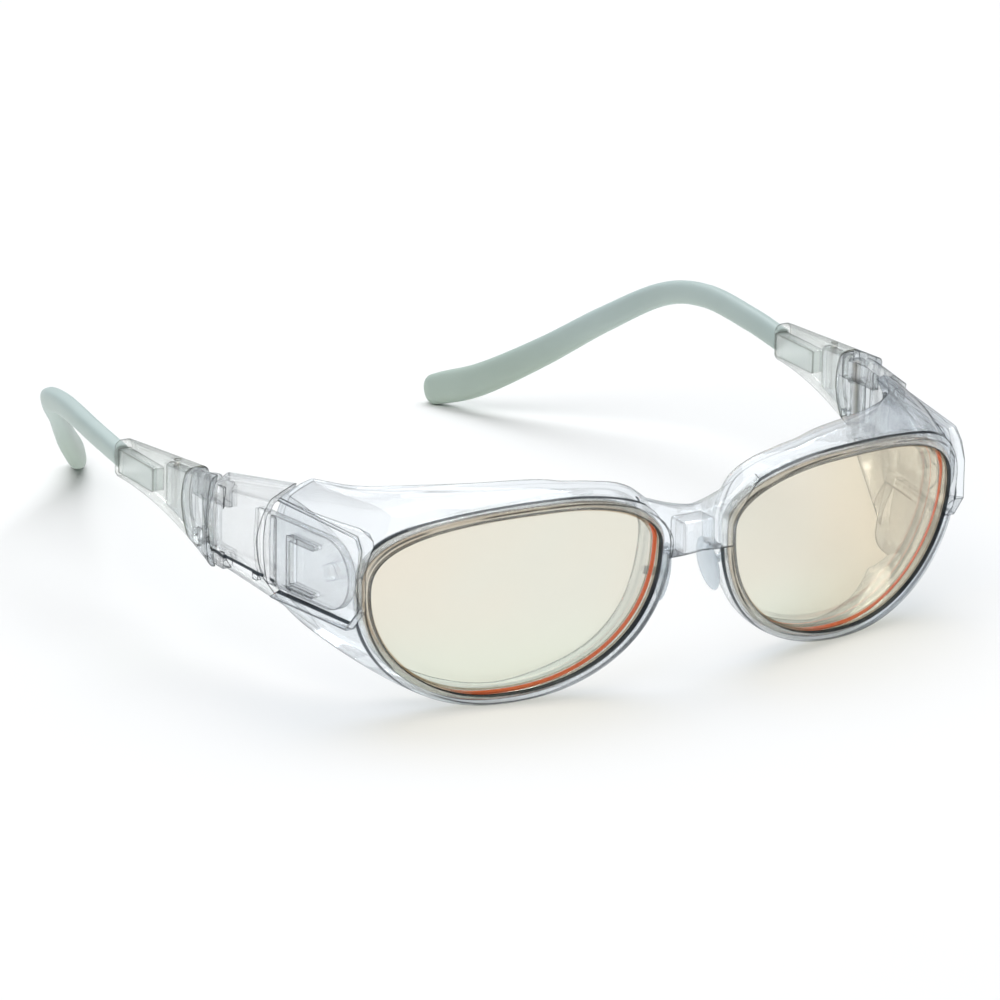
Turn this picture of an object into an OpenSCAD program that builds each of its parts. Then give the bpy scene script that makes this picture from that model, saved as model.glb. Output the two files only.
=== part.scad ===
// Over-spectacle safety glasses: a one-piece clear front with two tinted
// lenses, side hinges that tilt and fold, and soft ear-hook temples.
// Frame: +X towards the wearer's left, +Y from the nose towards the ears,
// +Z up, z = 0 on the table the glasses rest on. Everything is millimetres.

/* [Lenses] */
// Radius of the spherical front surface of both lenses
lens_radius = 95; // [92:1:105]
// Thickness of each lens
lens_thickness = 2.2; // [1.8:0.1:2.4]
// How far each lens edge enters the groove of the front frame
lens_seat = 1.25; // [0.8:0.05:1.25]

/* [Front frame] */
// Width of the rim seen around each lens, at the nose side
rim_nose_width = 2.6; // [2.3:0.1:3.0]
// Width of the rim below each lens
rim_low_width = 2.2; // [2.1:0.1:2.8]
// Width of the rim above each lens
rim_top_width = 2.3; // [2.1:0.1:3.0]
// Width of the rim at the temple side
rim_side_width = 2.6; // [2.3:0.1:3.0]
// Wall thickness of the brow shelf and side shields
shield_wall = 1.8; // [1.5:0.1:2.2]
// Rise of the bead along the front of the rims
bead_height = 2.05; // [1.4:0.05:2.4]

/* [Tilt joint] */
// Radius of the round nose of each hinge tongue
tongue_radius = 6.9; // [6.4:0.1:7.1]
// Thickness of the hinge tongue
tongue_thickness = 1.8; // [1.4:0.1:1.9]
// Radius of the tilt rivet's shank
rivet_radius = 1.6; // [1.2:0.1:2.0]
// Radial running clearance of the rivet in the front frame
rivet_gap = 0.05; // [0.02:0.01:0.1]

/* [Fold joint] */
// Radius of the fold pin
fold_pin_radius = 0.8; // [0.6:0.05:0.9]
// Radial running clearance of the fold pin in the knuckle
fold_gap = 0.05; // [0.02:0.01:0.1]
// Outer radius of the hinge barrels
barrel_radius = 1.7; // [1.6:0.05:1.8]

/* [Temples] */
// Height of the straight part of the soft temple
arm_height = 4.7; // [4.2:0.1:5.0]
// Thickness of the straight part of the soft temple
arm_thickness = 3.5; // [3.2:0.1:3.8]
// Height of the paddle at the ear end
paddle_height = 6.9; // [6.0:0.1:7.2]
// Radius of the stiff core inside the soft temple
core_radius = 0.8; // [0.5:0.05:0.9]
// Radius of the pin that locks the sleeve to the knuckle
lock_pin_radius = 0.6; // [0.5:0.05:0.7]

/* [Resolution] */
// Sections around each rim
rim_steps = 76; // [60:2:84]
// Sections along each temple
arm_steps = 30; // [24:1:36]

/* [Hidden] */
$fn = 64;

// ---------- placing ----------
// Pieces are drawn in a lens frame, in which the table is at this height.
table_z = 0.62;
module at_home() translate([0, -0.75, -table_z]) children();

// Every paired piece is drawn on the +X side and mirrored for the right.
left = 1;
right = -1;
module on_side(side) {
  if (side > 0) children();
  else mirror([1, 0, 0]) children();
}

// ---------- curves ----------
function lerp(from, to, t) = from + (to - from) * t;
function unit(v) = v / max(norm(v), 0.001);
// Catmull-Rom curve from b to c.
function spline(a, b, c, d, t) = 0.5 * (2 * b + (c - a) * t
  + (2 * a - 5 * b + 4 * c - d) * t * t + (3 * b - a - 3 * c + d) * t * t * t);
// Closed curve through a list of stations; s counts stations.
function loop_at(list, s) = let (n = len(list), i = floor(s))
  spline(list[(i - 1 + n) % n], list[i % n], list[(i + 1) % n], list[(i + 2) % n], s - i);
// Open curve through a list of stations.
function line_at(list, s) = let (n = len(list), i = min(floor(s), n - 2))
  spline(i > 0 ? list[i - 1] : 2 * list[0] - list[1], list[i], list[i + 1],
         i + 2 < n ? list[i + 2] : 2 * list[n - 1] - list[n - 2], s - i);

// ---------- skins ----------
// Triangles between successive rings of m points, numbered from first.
function tube_faces(rings, m, first = 0, closed = false, flip = false) =
  [for (i = [0:rings - (closed ? 1 : 2)]) for (j = [0:m - 1])
    let (ring = first + i * m, next = first + ((i + 1) % rings) * m, k = (j + 1) % m,
         a = ring + j, b = ring + k, c = next + k, d = next + j)
    each flip ? [[a, c, b], [a, d, c]] : [[a, b, c], [a, c, d]]];
// Fan that closes the ring starting at first around a centre point.
function cap_faces(centre, first, m, flip = false) =
  [for (j = [0:m - 1]) let (a = first + j, b = first + (j + 1) % m)
    flip ? [centre, b, a] : [centre, a, b]];
function flat(sections) = [for (section = sections) each section];
function mean_point(section) = [for (p = section) 1] * section / len(section);

// Closed ring of closed sections.
module ring_skin(sections)
  polyhedron(points = flat(sections), convexity = 10,
    faces = tube_faces(len(sections), len(sections[0]), closed = true));

// Open row of closed sections with end caps drawn to their centres.
module bar_skin(sections) {
  n = len(sections);
  m = len(sections[0]);
  polyhedron(
    points = concat(flat(sections), [mean_point(sections[0]), mean_point(sections[n - 1])]),
    faces = concat(tube_faces(n, m), cap_faces(n * m, 0, m, flip = true),
      cap_faces(n * m + 1, (n - 1) * m, m)),
    convexity = 10);
}

// ---------- lens sphere and outline ----------
// Centre of the lens sphere for the +X lens; it sets the wrap and the lean.
sphere_centre = [18, 14.2, 32];
// The four extremes of the visible lens outline, as [x, z].
nose_end = [8.2, 29];
top_end = [30, 38.6];
side_end = [63.2, 25.5];
low_end = [39, 2.9];
// Squareness of the quarter curves nose-top, top-side, side-low, low-nose.
squareness = [2.0, 2.45, 2.0, 2.25];
lens_mid = [36, 22];
sphere_fn = 240;

// Quarter curve between a flank (nose or side) and a crest (top or low).
function quarter(flank, crest, across, rise, square) =
  let (bend = function (c) pow(max(c, 0), 2 / square))
  [lerp(crest[0], flank[0], bend(across)), lerp(flank[1], crest[1], bend(rise))];
// Outline point [x, z]: angle 0 at the nose, 90 top, 180 side, 270 low.
function outline(angle) =
  let (a = angle - 360 * floor(angle / 360), i = floor(a / 90), f = a - 90 * i)
  i == 0 ? quarter(nose_end, top_end, cos(f), sin(f), squareness[0]) :
  i == 1 ? quarter(side_end, top_end, sin(f), cos(f), squareness[1]) :
  i == 2 ? quarter(side_end, low_end, cos(f), sin(f), squareness[2]) :
  quarter(nose_end, low_end, sin(f), cos(f), squareness[3]);
// Outward normal of the outline in the XZ plane.
function outline_normal(a) =
  let (step = outline(a + 1.5) - outline(a - 1.5), size = norm(step))
  [-step[1] / size, step[0] / size];
function outline_offset(a, out) = outline(a) + out * outline_normal(a);
// y of the lens sphere at p = [x, z], a depth below the front surface.
function lens_y(p, depth) = sphere_centre[1] - sqrt(pow(lens_radius - depth, 2)
  - pow(p[0] - sphere_centre[0], 2) - pow(p[1] - sphere_centre[2], 2));

// Straight prism along y of the lens outline, pushed outwards.
module lens_prism(out, y0, y1, steps = rim_steps)
  translate([0, y1, 0]) rotate([90, 0, 0]) linear_extrude(y1 - y0)
    polygon([for (i = [0:steps - 1]) outline_offset(i * 360 / steps, out)]);

module lens_sphere(depth = 0)
  translate(sphere_centre) sphere(r = lens_radius - depth, $fn = sphere_fn);

// ---------- rims ----------
// Rear edge of the front as [x, y, z], each 15 degrees around the lens from
// the nose: nose wall, brow shelf, side shield, lower hood.
rear_edge = [
  [7.2, -74.0, 29], [8.0, -74.5, 33.5], [10.0, -75.0, 37.6], [14.2, -75.2, 40.1],
  [20.0, -74.6, 41.3], [25.5, -73.8, 42.0], [31.0, -72.6, 42.8], [42.0, -69.5, 43.0],
  [50.5, -64.8, 42.6], [58.5, -55.5, 41.0], [64.8, -43.5, 40.2], [69.0, -39.2, 36.4],
  [70.4, -38.2, 28.5], [70.0, -38.6, 21.4], [66.6, -41.0, 15.6], [61.8, -48.0, 10.8],
  [55.2, -57.5, 6.4], [47.8, -63.0, 2.9], [39.5, -66.2, 1.0], [32.0, -68.6, 1.5],
  [22.6, -70.6, 4.4], [15.6, -71.8, 8.4], [10.8, -72.8, 14.2], [8.2, -73.5, 21.2]];
// Rim width each 30 degrees from the nose.
rim_widths = [
  rim_nose_width, rim_nose_width, rim_top_width, rim_top_width,
  rim_top_width, rim_side_width + 0.3, rim_side_width, rim_side_width,
  rim_low_width + 0.2, rim_low_width, rim_low_width, rim_nose_width - 0.2];
groove_gap = 0.12;
groove_depth = lens_seat + 0.06;
wall_steps = 4;

// Points between the ends of a wall that swells by bulge along out.
function wall_points(from, to, bulge, out) =
  [for (k = [1:wall_steps - 1]) let (t = k / wall_steps)
    lerp(from, to, t) + 4 * t * (1 - t) * bulge * out];

// One section of the front at angle a: a closed loop from the front lip over
// the bead, along the outer wall to the rear edge, back along the inner wall
// to the rear lip and into the lens groove.
function rim_section(a) =
  let (width = loop_at(rim_widths, a / 30),
       rear = loop_at(rear_edge, a / 15),
       away = unit([rear[0], rear[2]] - lens_mid),
       out = [away[0], 0, away[1]],
       at = function (offset, dy, depth = 0)
         let (p = outline_offset(a, offset)) [p[0], lens_y(p, depth) + dy, p[1]],
       front = at(width, -0.5),
       rear_inner = rear - shield_wall * out,
       rear_lip = at(0.35, 1.9, lens_thickness),
       bulge = 0.35 + 1.1 * pow(max(0, cos(a - 182)), 2))
  concat(
    [at(0, -0.95), at(0.22 * width, -0.8 * bead_height), at(0.55 * width, -bead_height),
     at(0.85 * width, -0.72 * bead_height), front],
    wall_points(front, rear, bulge, out),
    [rear, rear_inner],
    wall_points(rear_inner, rear_lip, 0.8 * bulge, out),
    [rear_lip, at(0, 1.2, lens_thickness), at(0, groove_gap, lens_thickness),
     at(groove_depth, groove_gap, lens_thickness), at(groove_depth, -groove_gap),
     at(0, -groove_gap)]);

module half_rim()
  ring_skin([for (i = [0:rim_steps - 1]) rim_section(i * 360 / rim_steps)]);

// ---------- saddle bridge ----------
bridge_half = 13;
bridge_steps = 12;
bridge_chamfer = 1.3;
// A chamfered box in the YZ plane at x.
function bridge_section(x) =
  let (t = abs(x) / bridge_half, c = bridge_chamfer,
       top = 34.4 + 4.1 * pow(t, 1.5), low = 26.6 - 1.6 * t + 1.0 * t * t,
       front = -83.2 + 2.0 * pow(t, 2), rear = -77.2 + 1.0 * t)
  [[x, front, low + c], [x, front - 0.5, (top + low) / 2], [x, front, top - c],
   [x, front + c, top], [x, rear - c, top + 0.2], [x, rear, top - c],
   [x, rear, low + c], [x, rear - c, low], [x, front + c, low]];

module bridge() difference() {
  bar_skin([for (i = [0:bridge_steps])
    bridge_section(-bridge_half + 2 * bridge_half * i / bridge_steps)]);
  // hollow underneath and behind
  translate([-3.4, -81.6, 20]) cube([6.8, 6, 12.2]);
  for (side = [right, left])
    on_side(side) lens_prism(lens_seat + 0.2, -100, -55, steps = 36);
}

// ---------- tilt joint ----------
// Side plane that carries the joint: its turn about z and the tilt axis.
side_angle = 7.8;
tilt_origin = [67.55, -60.5, 27];
// Seams concentric with the tilt axis: the front's edge, the adapter's front
// edge and the adapter's rear edge towards the knuckle.
front_seam_radius = 18.2;
adapter_seam_radius = 18.5;
rear_seam_radius = 32.0;
seam_fn = 160;
// Local x of the seat's inner and outer faces, the pocket and the tongue.
seat_inner = -3.9;
seat_outer = 0.25;
pocket_floor = -2.15;
tongue_inner = pocket_floor + 0.1;

// Local x along the outward normal of the side wall, local y rearwards
// along it and the origin on the tilt axis.
module at_tilt() translate(tilt_origin) rotate([0, 0, -side_angle]) children();
// Extrudes a shape drawn as [rearward, up] from x0 to x1 along local x.
module side_plate(x0, x1)
  translate([x0, 0, 0]) rotate([90, 0, 90]) linear_extrude(x1 - x0) children();
module seam_cylinder(radius)
  at_tilt() rotate([0, 90, 0]) cylinder(r = radius, h = 80, center = true, $fn = seam_fn);
module rivet_bore(radius)
  at_tilt() rotate([0, 90, 0]) cylinder(r = radius, h = 20, center = true);

// Six-sided outline of the raised seat (inset 0) and of its pocket.
module seat_outline(inset) polygon([
  [-10.2 + inset, -4.8], [-10.2 + inset, 6.8], [-8.4 + inset * 0.6, 9.2 - inset],
  [23, 10.4 - inset], [23, -9.2 + inset], [-6.6 + inset * 0.6, -9.2 + inset]]);

// Raised seat on the side wall, kept out of the lens and its groove.
module seat_block() difference() {
  at_tilt() side_plate(seat_inner, seat_outer) seat_outline(0);
  // the upper part of the seat leans inwards
  at_tilt() translate([seat_outer, -30, 2.4]) rotate([0, -11.5, 0]) cube([10, 60, 20]);
  lens_prism(0.45, -100, -40);
  difference() {
    lens_prism(lens_seat + 0.16, -100, -45);
    lens_sphere(lens_thickness + 0.22);
  }
}

// Rear part of the side shield, beyond the seam with the adapter.
module seam_trim() intersection() {
  translate([52, -59, 2]) cube([30, 40, 46]);
  difference() {
    translate([50, -70, -10]) cube([40, 60, 70]);
    seam_cylinder(front_seam_radius);
  }
}

// ---------- front frame ----------
pad_stem_radius = 0.8;
pad_origin = [6.35, -76.6, 22.0];
module at_pad()
  translate(pad_origin) rotate([0, -11, 0]) rotate([0, 0, 12]) children();

module front_frame() color("aliceblue", 0.35) difference() {
  union() {
    for (side = [right, left]) on_side(side) difference() {
      union() {
        half_rim();
        seat_block();
      }
      seam_trim();
      at_tilt() side_plate(pocket_floor, 3) seat_outline(0.9);
      rivet_bore(rivet_radius + rivet_gap);
      // socket for the nose pad's stem
      at_pad() rotate([0, 90, 0]) cylinder(r = pad_stem_radius, h = 2.4);
    }
    bridge();
  }
  // flat feet where the rims stand on the table
  translate([-80, -90, table_z - 10]) cube([160, 60, 10]);
}

// ---------- lenses ----------
module lens(side) color("#e8d9b8", 0.6) on_side(side) intersection() {
  lens_prism(lens_seat, -95, -50);
  difference() {
    lens_sphere();
    lens_sphere(lens_thickness);
  }
}

// ---------- nose pads ----------
pad_half_height = 5.5;
pad_half_depth = 2.7;
pad_half_thickness = 0.85;
function pad_section(t) = let (size = sqrt(max(0.03, 1 - t * t)))
  [for (j = [0:11])
    [-1.5 + pad_half_thickness * size * cos(j * 30),
     -pad_half_depth * size * sin(j * 30) + 0.3 * t, pad_half_height * t]];

// Leaf-shaped silicone blade with a short round stem into the frame.
module nose_pad(side) color("white", 0.7) on_side(side) at_pad() {
  union() {
    bar_skin([for (i = [0:10]) pad_section(-1 + 2 * i / 10)]);
    translate([-1.6, 0, 0]) rotate([0, 90, 0]) cylinder(r = pad_stem_radius, h = 3.6);
  }
}

// ---------- tilt rivet ----------
rivet_head_radius = 3.1;
shank_start = seat_inner - 0.2;
shank_end = tongue_inner + tongue_thickness - 0.25;
module tilt_rivet(side) color("aliceblue", 0.5)
  on_side(side) at_tilt() rotate([0, 90, 0]) {
    translate([0, 0, seat_inner - 1.25]) cylinder(r = rivet_head_radius, h = 1.15);
    translate([0, 0, shank_start]) cylinder(r = rivet_radius, h = shank_end - shank_start);
  }

// ---------- fold joint ----------
fold_axis = [71.35, -26.0];   // [x, y]
// Lowest and highest z of the adapter's lugs and of the knuckle's barrel.
lug_z = [20.4, 36.2];
barrel_z = [23.7, 32.0];
barrel_end_gap = 0.15;
lug_spans = [[lug_z[0], barrel_z[0] - barrel_end_gap],
             [barrel_z[1] + barrel_end_gap, lug_z[1]]];
web_x = fold_axis[0] - 1.1;
module fold_cylinder(radius, z0, z1)
  translate([fold_axis[0], fold_axis[1], z0]) cylinder(r = radius, h = z1 - z0);

module fold_pin(side) color("gainsboro") on_side(side)
  fold_cylinder(fold_pin_radius, lug_z[0] + 0.3, lug_z[1] - 0.3);

// ---------- hinge adapter ----------
adapter_wall = 1.9;
// Outer wall as [x, z], from low to high, at its front and hinge ends.
shell_front = [[61.4, 10.9], [65.8, 14.8], [69.0, 20.9], [69.8, 28], [68.7, 37.2], [64.6, 40.5]];
shell_back = [[69.4, 19.6], [72.2, 20.3], [74.0, 23.4], [74.5, 29], [73.8, 36.5], [71.2, 38.0]];
// The points that the wall thickness is measured towards at those ends.
shell_focus = [[57, 28], [68.9, 28.5]];
// Section at t = 0 (front) to 1 (hinge).
function shell_section(t) =
  let (y = -50.2 + 21.9 * t, outer = lerp(shell_front, shell_back, t),
       focus = lerp(shell_focus[0], shell_focus[1], t))
  concat(
    [for (p = outer) [p[0], y, p[1]]],
    [for (i = [5:-1:0]) let (p = outer[i] + adapter_wall * unit(focus - outer[i]))
      [p[0], y, p[1]]]);
// Slots as [rearward, up, length, height] from the tilt axis.
tab_slots = [[3.4, 3.2, 8.2, 0.9], [3.8, -6.1, 7.6, 0.9], [10.8, -6.1, 0.8, 10.2]];

module adapter_shell() difference() {
  bar_skin([for (i = [0:4]) shell_section(i / 4)]);
  seam_cylinder(adapter_seam_radius);
  // everything beyond the seam with the knuckle
  at_tilt() rotate([0, 90, 0]) difference() {
    cylinder(r = 80, h = 80, center = true);
    cylinder(r = rear_seam_radius, h = 81, center = true, $fn = seam_fn);
  }
  // room for the folded temple
  translate([55, -28.6, 0]) cube([14.6, 20, 60]);
  // room for the knuckle's barrel
  fold_cylinder(barrel_radius + 0.2, barrel_z[0] - barrel_end_gap, barrel_z[1] + barrel_end_gap);
}

module tongue()
  at_tilt() side_plate(tongue_inner, tongue_inner + tongue_thickness) union() {
    circle(r = tongue_radius);
    translate([0, -tongue_radius]) square([24.5, 2 * tongue_radius]);
  }

module hinge_lug(span) {
  height = span[1] - span[0];
  web_origin = [web_x, fold_axis[1] - 7.2, span[0]];
  fold_cylinder(barrel_radius, span[0], span[1]);
  translate(web_origin) cube([2.3, 7.0, height]);
  intersection() {
    translate(web_origin) cube([3.0, 6.0, height]);
    seam_cylinder(rear_seam_radius);
  }
}

module hinge_adapter(side) color("aliceblue", 0.35) on_side(side) difference() {
  union() {
    adapter_shell();
    tongue();
    for (span = lug_spans) hinge_lug(span);
  }
  // slots that free the click tab
  at_tilt() for (slot = tab_slots)
    translate([-6, slot[0], slot[1]]) cube([8, slot[2], slot[3]]);
  rivet_bore(rivet_radius);
  fold_cylinder(fold_pin_radius, 10, 50);
}

// ---------- sleeve and knuckle body ----------
// Curved seam between knuckle and sleeve, an arc in the YZ plane.
arc_centre = [-31.3, 30.3];   // [y, z]
arc_radius = 11;
module arc_cylinder(radius)
  translate([60, arc_centre[0], arc_centre[1]]) rotate([0, 90, 0])
    cylinder(r = radius, h = 30, $fn = 96);

// Chamfered section of the shared body at y, pulled in by inset.
function body_section(y, inset = 0) =
  let (t = (y + 24) / 28.6, c = max(0.4, 1.5 - 0.5 * inset), e = 0.3 * c,
       x0 = lerp(70.2, 71.7, t) + inset, x1 = lerp(74.6, 75.9, t) - inset,
       z0 = lerp(22.0, 27.5, 1 - (t < 1 ? pow(1 - t, 2) : 0)) + inset,
       z1 = lerp(37.2, 34.9, t) - inset)
  [[x0 + c, y, z0], [x1 - c, y, z0], [x1 - e, y, z0 + e], [x1, y, z0 + c],
   [x1, y, z1 - c], [x1 - e, y, z1 - e], [x1 - c, y, z1], [x0 + c, y, z1],
   [x0 + e, y, z1 - e], [x0, y, z1 - c], [x0, y, z0 + c], [x0 + e, y, z0 + e]];
spigot_inset = 1.08;
cavity_inset = spigot_inset - 0.1;
spigot_pitch = 2.25;   // between sections of the spigot and its cavity

lock_centre = [73.0, -15.6];   // [x, y]
module lock_cylinder(z0, height)
  translate([lock_centre[0], lock_centre[1], z0]) cylinder(r = lock_pin_radius, h = height);

// ---------- knuckle ----------
// Outer band between the fold gap and the sleeve.
module knuckle_band() intersection() {
  bar_skin([for (i = [0:5]) body_section(-30.5 + 11 * i / 5)]);
  arc_cylinder(arc_radius - 0.08);
  union() {
    translate([60, -22.6, 15]) cube([20, 10, 30]);
    difference() {
      translate([fold_axis[0] + 1.45, -32, 15]) cube([6, 12, 30]);
      seam_cylinder(rear_seam_radius + 0.3);
    }
  }
}

module hinge_knuckle(side) color("aliceblue", 0.4) on_side(side) difference() {
  union() {
    knuckle_band();
    // barrel and its web
    fold_cylinder(barrel_radius, barrel_z[0], barrel_z[1]);
    translate([web_x, fold_axis[1], barrel_z[0] + 1.7])
      cube([2.6, 4.5, barrel_z[1] - barrel_z[0] - 1.7]);
    // spigot inside the sleeve
    bar_skin([for (i = [0:4]) body_section(-22.4 + spigot_pitch * i, spigot_inset)]);
  }
  // room around the lugs of the adapter
  for (span = [[lug_z[0] - 6, barrel_z[0]], [barrel_z[1], lug_z[1] + 6]])
    fold_cylinder(barrel_radius + 0.35, span[0], span[1]);
  fold_cylinder(fold_pin_radius + fold_gap, 10, 50);
  lock_cylinder(26, 20);
}

// ---------- lock pin ----------
module sleeve_lock_pin(side) color("gainsboro") on_side(side) {
  lock_cylinder(27, 9.0);
}

// ---------- sleeve ----------
// Flat tongue of the core, held in the sleeve's rear slot.
stub_thickness = 2.4;
stub_height = 4.6;
stub_centre = [73.5, 30.6];   // [x, z]
stub_front = -9.0;
module stub_box(y, length, gap = 0)
  translate([stub_centre[0] - stub_thickness / 2 - gap, y, stub_centre[1] - stub_height / 2 - gap])
    cube([stub_thickness + 2 * gap, length, stub_height + 2 * gap]);

module temple_sleeve(side) color("lightsteelblue", 0.5) on_side(side) difference() {
  bar_skin([for (i = [0:8]) body_section(-25.5 + 29.5 * i / 8, i == 8 ? 0.5 : 0)]);
  arc_cylinder(arc_radius + 0.07);
  // front cavity for the spigot
  bar_skin([for (i = [0:6]) body_section(-26.65 + spigot_pitch * i, cavity_inset)]);
  stub_box(stub_front - 0.1, 20, gap = 0.02);
  lock_cylinder(26, 20);
}

// ---------- temple path ----------
// Centre line of the soft temple as [x, y, z], from the sleeve to the ear.
arm_path = [
  [73.8, 4.3, 31.3], [73.5, 15.2, 32.6], [72.2, 29.4, 33.6], [69.4, 41.2, 31.1],
  [62.2, 51.8, 23.9], [54.7, 62.7, 15.2], [46.8, 73.6, 7.5], [41.6, 82.6, 3.63]];
arm_end = len(arm_path) - 1;
core_end = 5.2;   // station where the core's tunnel ends
// [station, height] and [station, thickness] along the temple.
arm_heights = [[0, arm_height], [3, arm_height], [4.5, arm_height + 0.7],
  [6, paddle_height - 0.3], [6.6, paddle_height], [7, paddle_height - 0.6]];
arm_thicknesses = [[0, arm_thickness], [3, arm_thickness],
  [6, arm_thickness + 0.5], [7, arm_thickness + 0.2]];
function half_height(s) = 0.5 * lookup(s, arm_heights);
function half_thickness(s) = 0.5 * lookup(s, arm_thicknesses);

function arm_centre(s) = line_at(arm_path, s);
function arm_direction(s) =
  let (step = arm_centre(min(s + 0.05, arm_end)) - arm_centre(max(s - 0.05, 0)))
  step / norm(step);
// Section axis that points mostly up.
function arm_up(s) = let (d = arm_direction(s), k = [0.25, 0, 1], v = k - (k * d) * d)
  v / norm(v);
function signed_power(v, power) = sign(v) * pow(abs(v), 2 / power);
// Superellipse of m points across the path at station s, moved along by shift.
function arm_ring(s, high, thick, shift = 0, m = 14, power = 2.6) =
  let (up = arm_up(s), across = cross(up, arm_direction(s)),
       centre = arm_centre(s) + shift * arm_direction(s))
  [for (j = [0:m - 1]) let (angle = j * 360 / m)
    centre + thick * signed_power(cos(angle), power) * across
           + high * signed_power(-sin(angle), power) * up];

// ---------- soft temple ----------
// One skin: the outside with its rounded ear end, and a blind core tunnel.
module temple_tip(side) color("#b9c6c6") on_side(side) {
  m = 14;
  tunnel_steps = 24;
  bore = core_radius + 0.06;
  outer = concat(
    [for (i = [0:arm_steps]) let (s = arm_end * i / arm_steps)
      arm_ring(s, half_height(s), half_thickness(s))],
    [for (t = [30, 55, 75]) arm_ring(arm_end, half_height(arm_end) * cos(t),
      half_thickness(arm_end) * cos(t), 2.6 * sin(t))]);
  inner = [for (i = [0:tunnel_steps])
    arm_ring(core_end * i / tunnel_steps, bore, bore, power = 2)];
  outer_tip = len(outer) * m;
  inner_first = outer_tip + 1;
  inner_tip = inner_first + len(inner) * m;
  polyhedron(
    points = concat(
      flat(outer), [arm_centre(arm_end) + 2.62 * arm_direction(arm_end)],
      flat(inner), [arm_centre(core_end) + 0.3 * arm_direction(core_end)]),
    faces = concat(
      tube_faces(len(outer), m),
      cap_faces(outer_tip, outer_tip - m, m),
      tube_faces(len(inner), m, inner_first, flip = true),
      cap_faces(inner_tip, inner_tip - m, m, flip = true),
      // flat mouth between the outside and the tunnel
      [for (j = [0:m - 1]) let (k = (j + 1) % m, a = inner_first + j, b = inner_first + k)
        each [[j, a, k], [k, a, b]]]),
    convexity = 10);
}

// ---------- temple core ----------
// A flat tongue in the sleeve and a bent rod in the soft temple.
module temple_core(side) color("darkgray") on_side(side) union() {
  m = 10;
  stub_box(stub_front, 12.8);
  bar_skin(concat(
    [[for (j = [0:m - 1]) arm_path[0] * [[1, 0, 0], [0, 0, 0], [0, 0, 1]]
      + [-core_radius * cos(j * 36), 2.5, -core_radius * sin(j * 36)]]],
    [for (i = [0:24])
      arm_ring((core_end - 0.02) * i / 24, core_radius, core_radius, m = m, power = 2)]));
}

at_home() front_frame();
at_home() lens(right);  // lens_right
at_home() lens(left);  // lens_left
at_home() nose_pad(right);  // nose_pad_right
at_home() nose_pad(left);  // nose_pad_left
at_home() tilt_rivet(right);  // tilt_rivet_right
at_home() tilt_rivet(left);  // tilt_rivet_left
at_home() hinge_adapter(right);  // hinge_adapter_right
at_home() hinge_adapter(left);  // hinge_adapter_left
at_home() fold_pin(right);  // fold_pin_right
at_home() fold_pin(left);  // fold_pin_left
at_home() hinge_knuckle(right);  // hinge_knuckle_right
at_home() hinge_knuckle(left);  // hinge_knuckle_left
at_home() sleeve_lock_pin(right);  // sleeve_lock_pin_right
at_home() sleeve_lock_pin(left);  // sleeve_lock_pin_left
at_home() temple_sleeve(right);  // temple_sleeve_right
at_home() temple_sleeve(left);  // temple_sleeve_left
at_home() temple_core(right);  // temple_core_right
at_home() temple_core(left);  // temple_core_left
at_home() temple_tip(right);  // temple_tip_right
at_home() temple_tip(left);  // temple_tip_left
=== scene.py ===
"""Safety glasses: a clear front with two amber lenses, tilting side adapters, folding temples.

The wearer faces -Y, with +Z up and +X on the wearer's left. Shapes are drawn in millimetres in the
lens frame, the left half only; `put` moves them by HOME to where the glasses rest, mirrors the
right half and turns millimetres into metres. Materials work in metres in the resting frame.
"""
import math
from functools import cached_property

import bmesh
import bpy
import numpy as np
from mathutils import Matrix, Vector


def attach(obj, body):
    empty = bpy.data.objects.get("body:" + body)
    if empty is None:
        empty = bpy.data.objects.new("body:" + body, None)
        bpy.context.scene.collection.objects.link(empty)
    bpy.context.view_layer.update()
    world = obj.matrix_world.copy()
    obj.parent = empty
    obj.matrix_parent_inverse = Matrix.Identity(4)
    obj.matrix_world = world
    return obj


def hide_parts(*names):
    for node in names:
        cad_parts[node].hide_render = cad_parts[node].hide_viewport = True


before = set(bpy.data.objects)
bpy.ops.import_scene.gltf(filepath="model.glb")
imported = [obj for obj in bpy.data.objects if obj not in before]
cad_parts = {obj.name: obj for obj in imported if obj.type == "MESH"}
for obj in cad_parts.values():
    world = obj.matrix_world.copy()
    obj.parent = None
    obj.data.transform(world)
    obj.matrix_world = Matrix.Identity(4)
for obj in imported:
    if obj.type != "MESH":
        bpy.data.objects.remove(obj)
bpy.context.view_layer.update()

HOME = np.array([0.0, -0.75, -0.62])
TABLE_Z = -HOME[2]
FLIP_X = np.array([-1.0, 1.0, 1.0])

# Lens: a piece of a spherical shell inside a four-quarter outline
LENS_R, LENS_THICK = 95.0, 2.2
SEAT = 1.25                                # how far the lens runs out past the outline
SPHERE = np.array([18.0, 14.2, 32.0])      # centre of the lens spheres
# Outermost points (x, z) at the nose, top, side and bottom, and the power of the quarter after each
EXTREMES = np.array([[8.2, 29.0], [30.0, 38.6], [63.2, 25.5], [39.0, 2.9]])
POWERS = (2.0, 2.45, 2.0, 2.25)
GRID_CENTRE = np.array([36.0, 21.5])       # x, z of the pole of the lens mesh

# Rim: a bead round the lens and a wall running back to the rear edge
RIM_MIDDLE = np.array([36.0, 22.0])        # x, z
WALL, BEAD = 1.8, 2.05                     # wall thickness, bead height
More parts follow.
